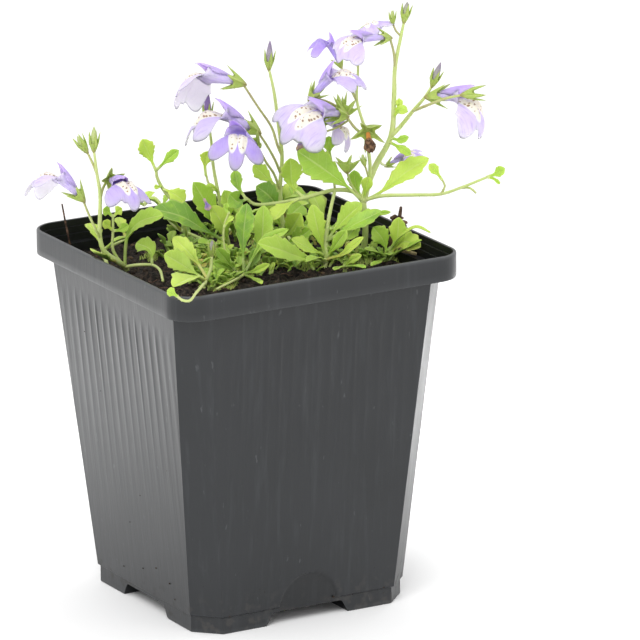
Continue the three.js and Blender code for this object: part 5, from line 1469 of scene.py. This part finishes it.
# Small leaves between the crowns: pixel of their middle, reach on the soil, how many, and growth
UNDERGROWTH = [
  ([206, 262], 6, 60, 1), ([228, 262], 5, 34, 1), ([255, 258], 6, 30, 1), ([285, 262], 6, 34, 1),
  ([318, 262], 6, 34, 1), ([350, 262], 6, 30, 1), ([385, 258], 6, 40, 1), ([404, 254], 4, 16, 1),
  ([190, 240], 6, 24, 1), ([225, 236], 8, 34, 1), ([262, 236], 8, 34, 1), ([300, 240], 8, 34, 1),
  ([340, 240], 8, 34, 1), ([212, 277], 6, 60, 1), ([195, 272], 5, 36, 1), ([234, 274], 5, 24, 1),
  ([262, 272], 5, 16, 1), ([305, 270], 5, 16, 1), ([345, 266], 5, 16, 1), ([224, 285], 4, 26, 1),
  ([215, 286], 4, 24, 1), ([180, 256], 5, 30, 1.1), ([188, 281], 4, 24, 1), ([292, 226], 7, 16, 2.6),
  ([325, 228], 7, 18, 2.6), ([352, 234], 5, 10, 2.2), ([262, 228], 6, 12, 2.4), ([374, 238], 4, 8, 1.6),
]
WALL_MARGIN = 3


def make_undergrowth():
    random = seeded_random(401)
    form = Form()
    for spot, reach, count, growth in UNDERGROWTH:
        # the larger they grow, the further their tips stay from the wall
        edge = body_half(SOIL_TOP) - WALL - 1.5 * growth
        for foot in scatter(random, spot, reach, count, WALL_MARGIN):
            foot.z -= 0.2
            turn = random() * math.tau
            long = growth * (2.6 + 4.2 * random() ** 1.5)
            lean = Vector((math.cos(turn), math.sin(turn), 0.5 + 1.3 * random())).normalized()
            middle = foot + lean * long * 0.55 + UP * long * 0.12
            tip = foot + lean * long
            for point in (middle, tip):
                point.x = clamp(point.x, -edge, edge)
                point.y = clamp(point.y, -edge, edge)
            wide = long * (0.36 + 0.16 * random())
            add_blade(form, [foot, middle, tip], wide, UP, 2, 0.25, random, fine=False)
    form.piece("undergrowth", LEAF, "foliage")


# Dried flowers, litter and a fallen petal
WITHERED_LONG = 8.5
WITHERED_RINGS = 22
WITHERED_SIDES = 18


def make_withered(name, base, toward, size, look, slot):
    """Limp corolla that has dried on its calyx, crumpled and twisted."""
    random = seeded_random(len(name) * 31)
    foot = seen(base)
    axis = (seen(toward) - foot).normalized()
    side, other = cross_axes(axis)
    rings = [[(foot + axis * 2.2 * size, (0, 0, 0), 1)]]
    for k in range(WITHERED_RINGS):
        f = k / (WITHERED_RINGS - 1)
        along = lerp(2.5 * size, WITHERED_LONG, f)
        bulge = 0.7 + 1.15 * math.exp(-(((f - 0.72) / 0.24) ** 2))
        radius = size * bulge * (1 if f < 0.9 else 1.4 - 0.45 * f)
        centre = foot + axis * along - UP * WILTED * (along / WITHERED_LONG) ** 2
        ring = []
        for angle in round_angles(WITHERED_SIDES):
            angle += 0.9 * f
            crumple = 1 + 0.3 * f * math.cos(5 * angle + 7 * f) + 0.14 * (random() - 0.5)
            place = centre + around(side, other, angle) * (radius * crumple * 0.85)
            ring.append((place, (f, 0, 0.5 * f * random()), 1))
        rings.append(ring)
    rings.append([(foot + axis * WITHERED_LONG - UP * WILTED, (1, 0, 0), 1)])
    form = Form()
    form.skin(rings)
    form.piece(name + "_corolla", look, slot, [name])


# Knobs of the bark: pixel, distance behind the pot's axis and radius
BARK_LUMPS = [
  (393, 218, 8, 1), (395, 216.5, 7.5, 0.8), (396, 221, 7.5, 1.2), (398, 219, 6.5, 1.2), (398, 227, 7, 1.6),
  (401, 218, 6.5, 0.8), (402, 222, 7, 1.2), (405, 222.5, 6.5, 0.8), (404, 226, 7, 1), (400, 226, 7.5, 1.4),
]


def make_litter():
    random = seeded_random(7)
    make_withered("withered_x", [367, 128, 7], [369, 139, 2], 1, WITHERED, "dried")
    make_withered("withered_q", [324, 132, 9], [312, 138, 8], 0.8, LIMP, "petals")
    petal = Form()
    rib = [seen(p) for p in ([204, 199, 9], [207, 205, 8], [209, 211, 7])]
    add_blade(petal, rib, 2.2, facing(TO_VIEWER), 1, 0.2, random)
    petal.piece("fallen_petal", LIMP, "petals", ["fallen_petal_low"])
    needle = Form()
    route = from_soil([ground(72, 256), [69, 240, 12], [65, 220, 12], [62, 204, 12]])
    add_tube(needle, route, 0.9, 0.5, random, plain=True)
    needle.piece("pine_needle", BARK, "dried", ["needle"])
    stick = Form()
    route = [seen(p) for p in ([399, 250, 6], [407, 251.5, 4], [416, 254, 2])]
    add_tube(stick, route, 1.3, 1.1, random, plain=True)
    stick.piece("dry_stick", STRAW, "dried", ["stick"])
    chip = Form()
    route = from_soil([ground(386, 258), [393, 238, 8], [399, 220, 7], [401, 207, 7]])
    add_tube(chip, route, 3, 0.9, random, plain=True)
    for *place, radius in BARK_LUMPS:
        add_lump(chip, seen(place), radius, random, 0.2 * random())
    chip.piece("bark_piece", BARK, "dried", ["bark_chip"])


# Creeping shoots of the far side: name, route, length of a leaf and seed
LOW = SOIL_TOP + 1.6
MID = LOW + 1
HIGH = LOW + 2
CREEPERS = [
  ("creeper_rear_left", [(-33, 20, LOW), (-30, 28, MID), (-20, 33, HIGH)], 9, 11),
  ("creeper_rear", [(8, 27, LOW), (17, 33, MID), (28, 34, HIGH)], 9, 23),
  ("creeper_rear_right", [(35, 24, LOW), (35, 15, MID), (34, 5, HIGH)], 8, 31),
  ("creeper_middle", [(20, 9, LOW), (22, 15, MID), (24, 22, HIGH)], 9, 47),
  ("trailer_rear", [(0, 22, LOW), (-4, 34, 98), (-5, 44, 104), (-6, 48, 101)], 6, 53),
]
JOINT_LENGTH = 10


def make_creeper(name, route, leaf_long, seed):
    """A stem along the soil with a pair of leaves at each joint."""
    random = seeded_random(seed)
    points = [Vector(p) for p in route]
    curve = Curve(points)
    joints = max(2, round(curve.length / JOINT_LENGTH))
    parts = [rooted(points, 1.4, 0.9)]

    def blade(rib, wide):
        return lambda forms, draws: add_blade(forms["leaves"], rib, wide, UP, 3, 0.15, draws)

    for k in range(1, joints + 1):
        t = curve.place(k / joints)
        joint = curve.at(t)
        along = curve.along(t)
        across = UP.cross(along).normalized()
        for side in (-1, 1):
            long = leaf_long * (0.8 + 0.4 * random())
            out = across * (side * (0.75 + 0.3 * random()))
            out += along * (0.35 + 0.3 * random())
            out += UP * (0.5 + 0.4 * random())
            out.normalize()
            middle = joint + out * long * 0.55 + UP * long * 0.1
            parts.append(blade([joint, middle, joint + out * long - UP * long * 0.02], long * 0.5))
    spray(name, parts)


make_pot()
make_dirt()
make_soil()
make_moss()
make_undergrowth()
for number, (key, flower) in enumerate(FLOWERS.items()):
    make_flower(key, flower, 301 + 17 * number)
make_litter()
for shoot in CREEPERS:
    make_creeper(*shoot)


# Floor, light and camera, with places and sizes in metres
FLOOR_REACH = 6


def make_floor_stage():
    mesh = bpy.data.meshes.new("floor")
    corners = [(x * FLOOR_REACH, y * FLOOR_REACH, 0) for x, y in ((-1, -1), (1, -1), (1, 1), (-1, 1))]
    mesh.from_pydata(corners, [], [(0, 1, 2, 3)])
    pale = {"Base_Color": (0.97, 0.97, 0.97, 1), "Roughness": 0.9, "Specular_IOR_Level": 0.1}
    mesh.materials.append(Look("floor", **pale).material)
    floor = bpy.data.objects.new("floor", mesh)
    bpy.context.scene.collection.objects.link(floor)
    floor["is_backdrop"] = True


def softbox(name, place, aim, side, watts, spread=180):
    light = bpy.data.lights.new(name, "AREA")
    light.shape = "SQUARE"
    light.size = side
    light.energy = watts
    light.spread = math.radians(spread)
    made = bpy.data.objects.new(name, light)
    made.location = Vector(place)
    made.rotation_mode = "QUATERNION"
    made.rotation_quaternion = (Vector(aim) - Vector(place)).to_track_quat("-Z", "Y")
    bpy.context.scene.collection.objects.link(made)


def make_studio():
    """Even white light, a key from the front left, and lit floor behind the pot to both sides."""
    world = bpy.data.worlds.new("studio")
    bpy.context.scene.world = world
    world.use_nodes = True
    sky = world.node_tree.nodes["Background"]
    sky.inputs["Color"].default_value = (1, 1, 1, 1)
    sky.inputs["Strength"].default_value = 1.05
    softbox("key", (-1.3, -1.2, 1.7), (0, 0, 0.1), 1.2, 24)
    softbox("floor_left", (-0.12, 0.2, 0.26), (-0.12, 0.2, 0), 0.1, 0.175, 70)
    softbox("floor_right", (0.206, 0.073, 0.28), (0.206, 0.073, 0), 0.1, 0.26, 70)
    bpy.context.scene.view_settings.view_transform = "Standard"


def make_camera():
    data = bpy.data.cameras.new("camera")
    data.sensor_width = SENSOR_WIDTH
    data.lens = VIEW_FOCUS * SENSOR_WIDTH / PICTURE_SIDE
    data.clip_start = 0.1
    data.clip_end = 30
    camera = bpy.data.objects.new("camera", data)
    bpy.context.scene.collection.objects.link(camera)
    camera.location = eye * METRE
    camera.rotation_mode = "QUATERNION"
    camera.rotation_quaternion = Matrix((view_right, view_up, back)).transposed().to_quaternion()
    bpy.context.scene.camera = camera


make_floor_stage()
make_studio()
make_camera()

bpy.context.view_layer.update()
boxes = {"cad": cad_box, "visual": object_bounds()}
{name: [list(low), list(high)] for name, (low, high) in boxes.items()}
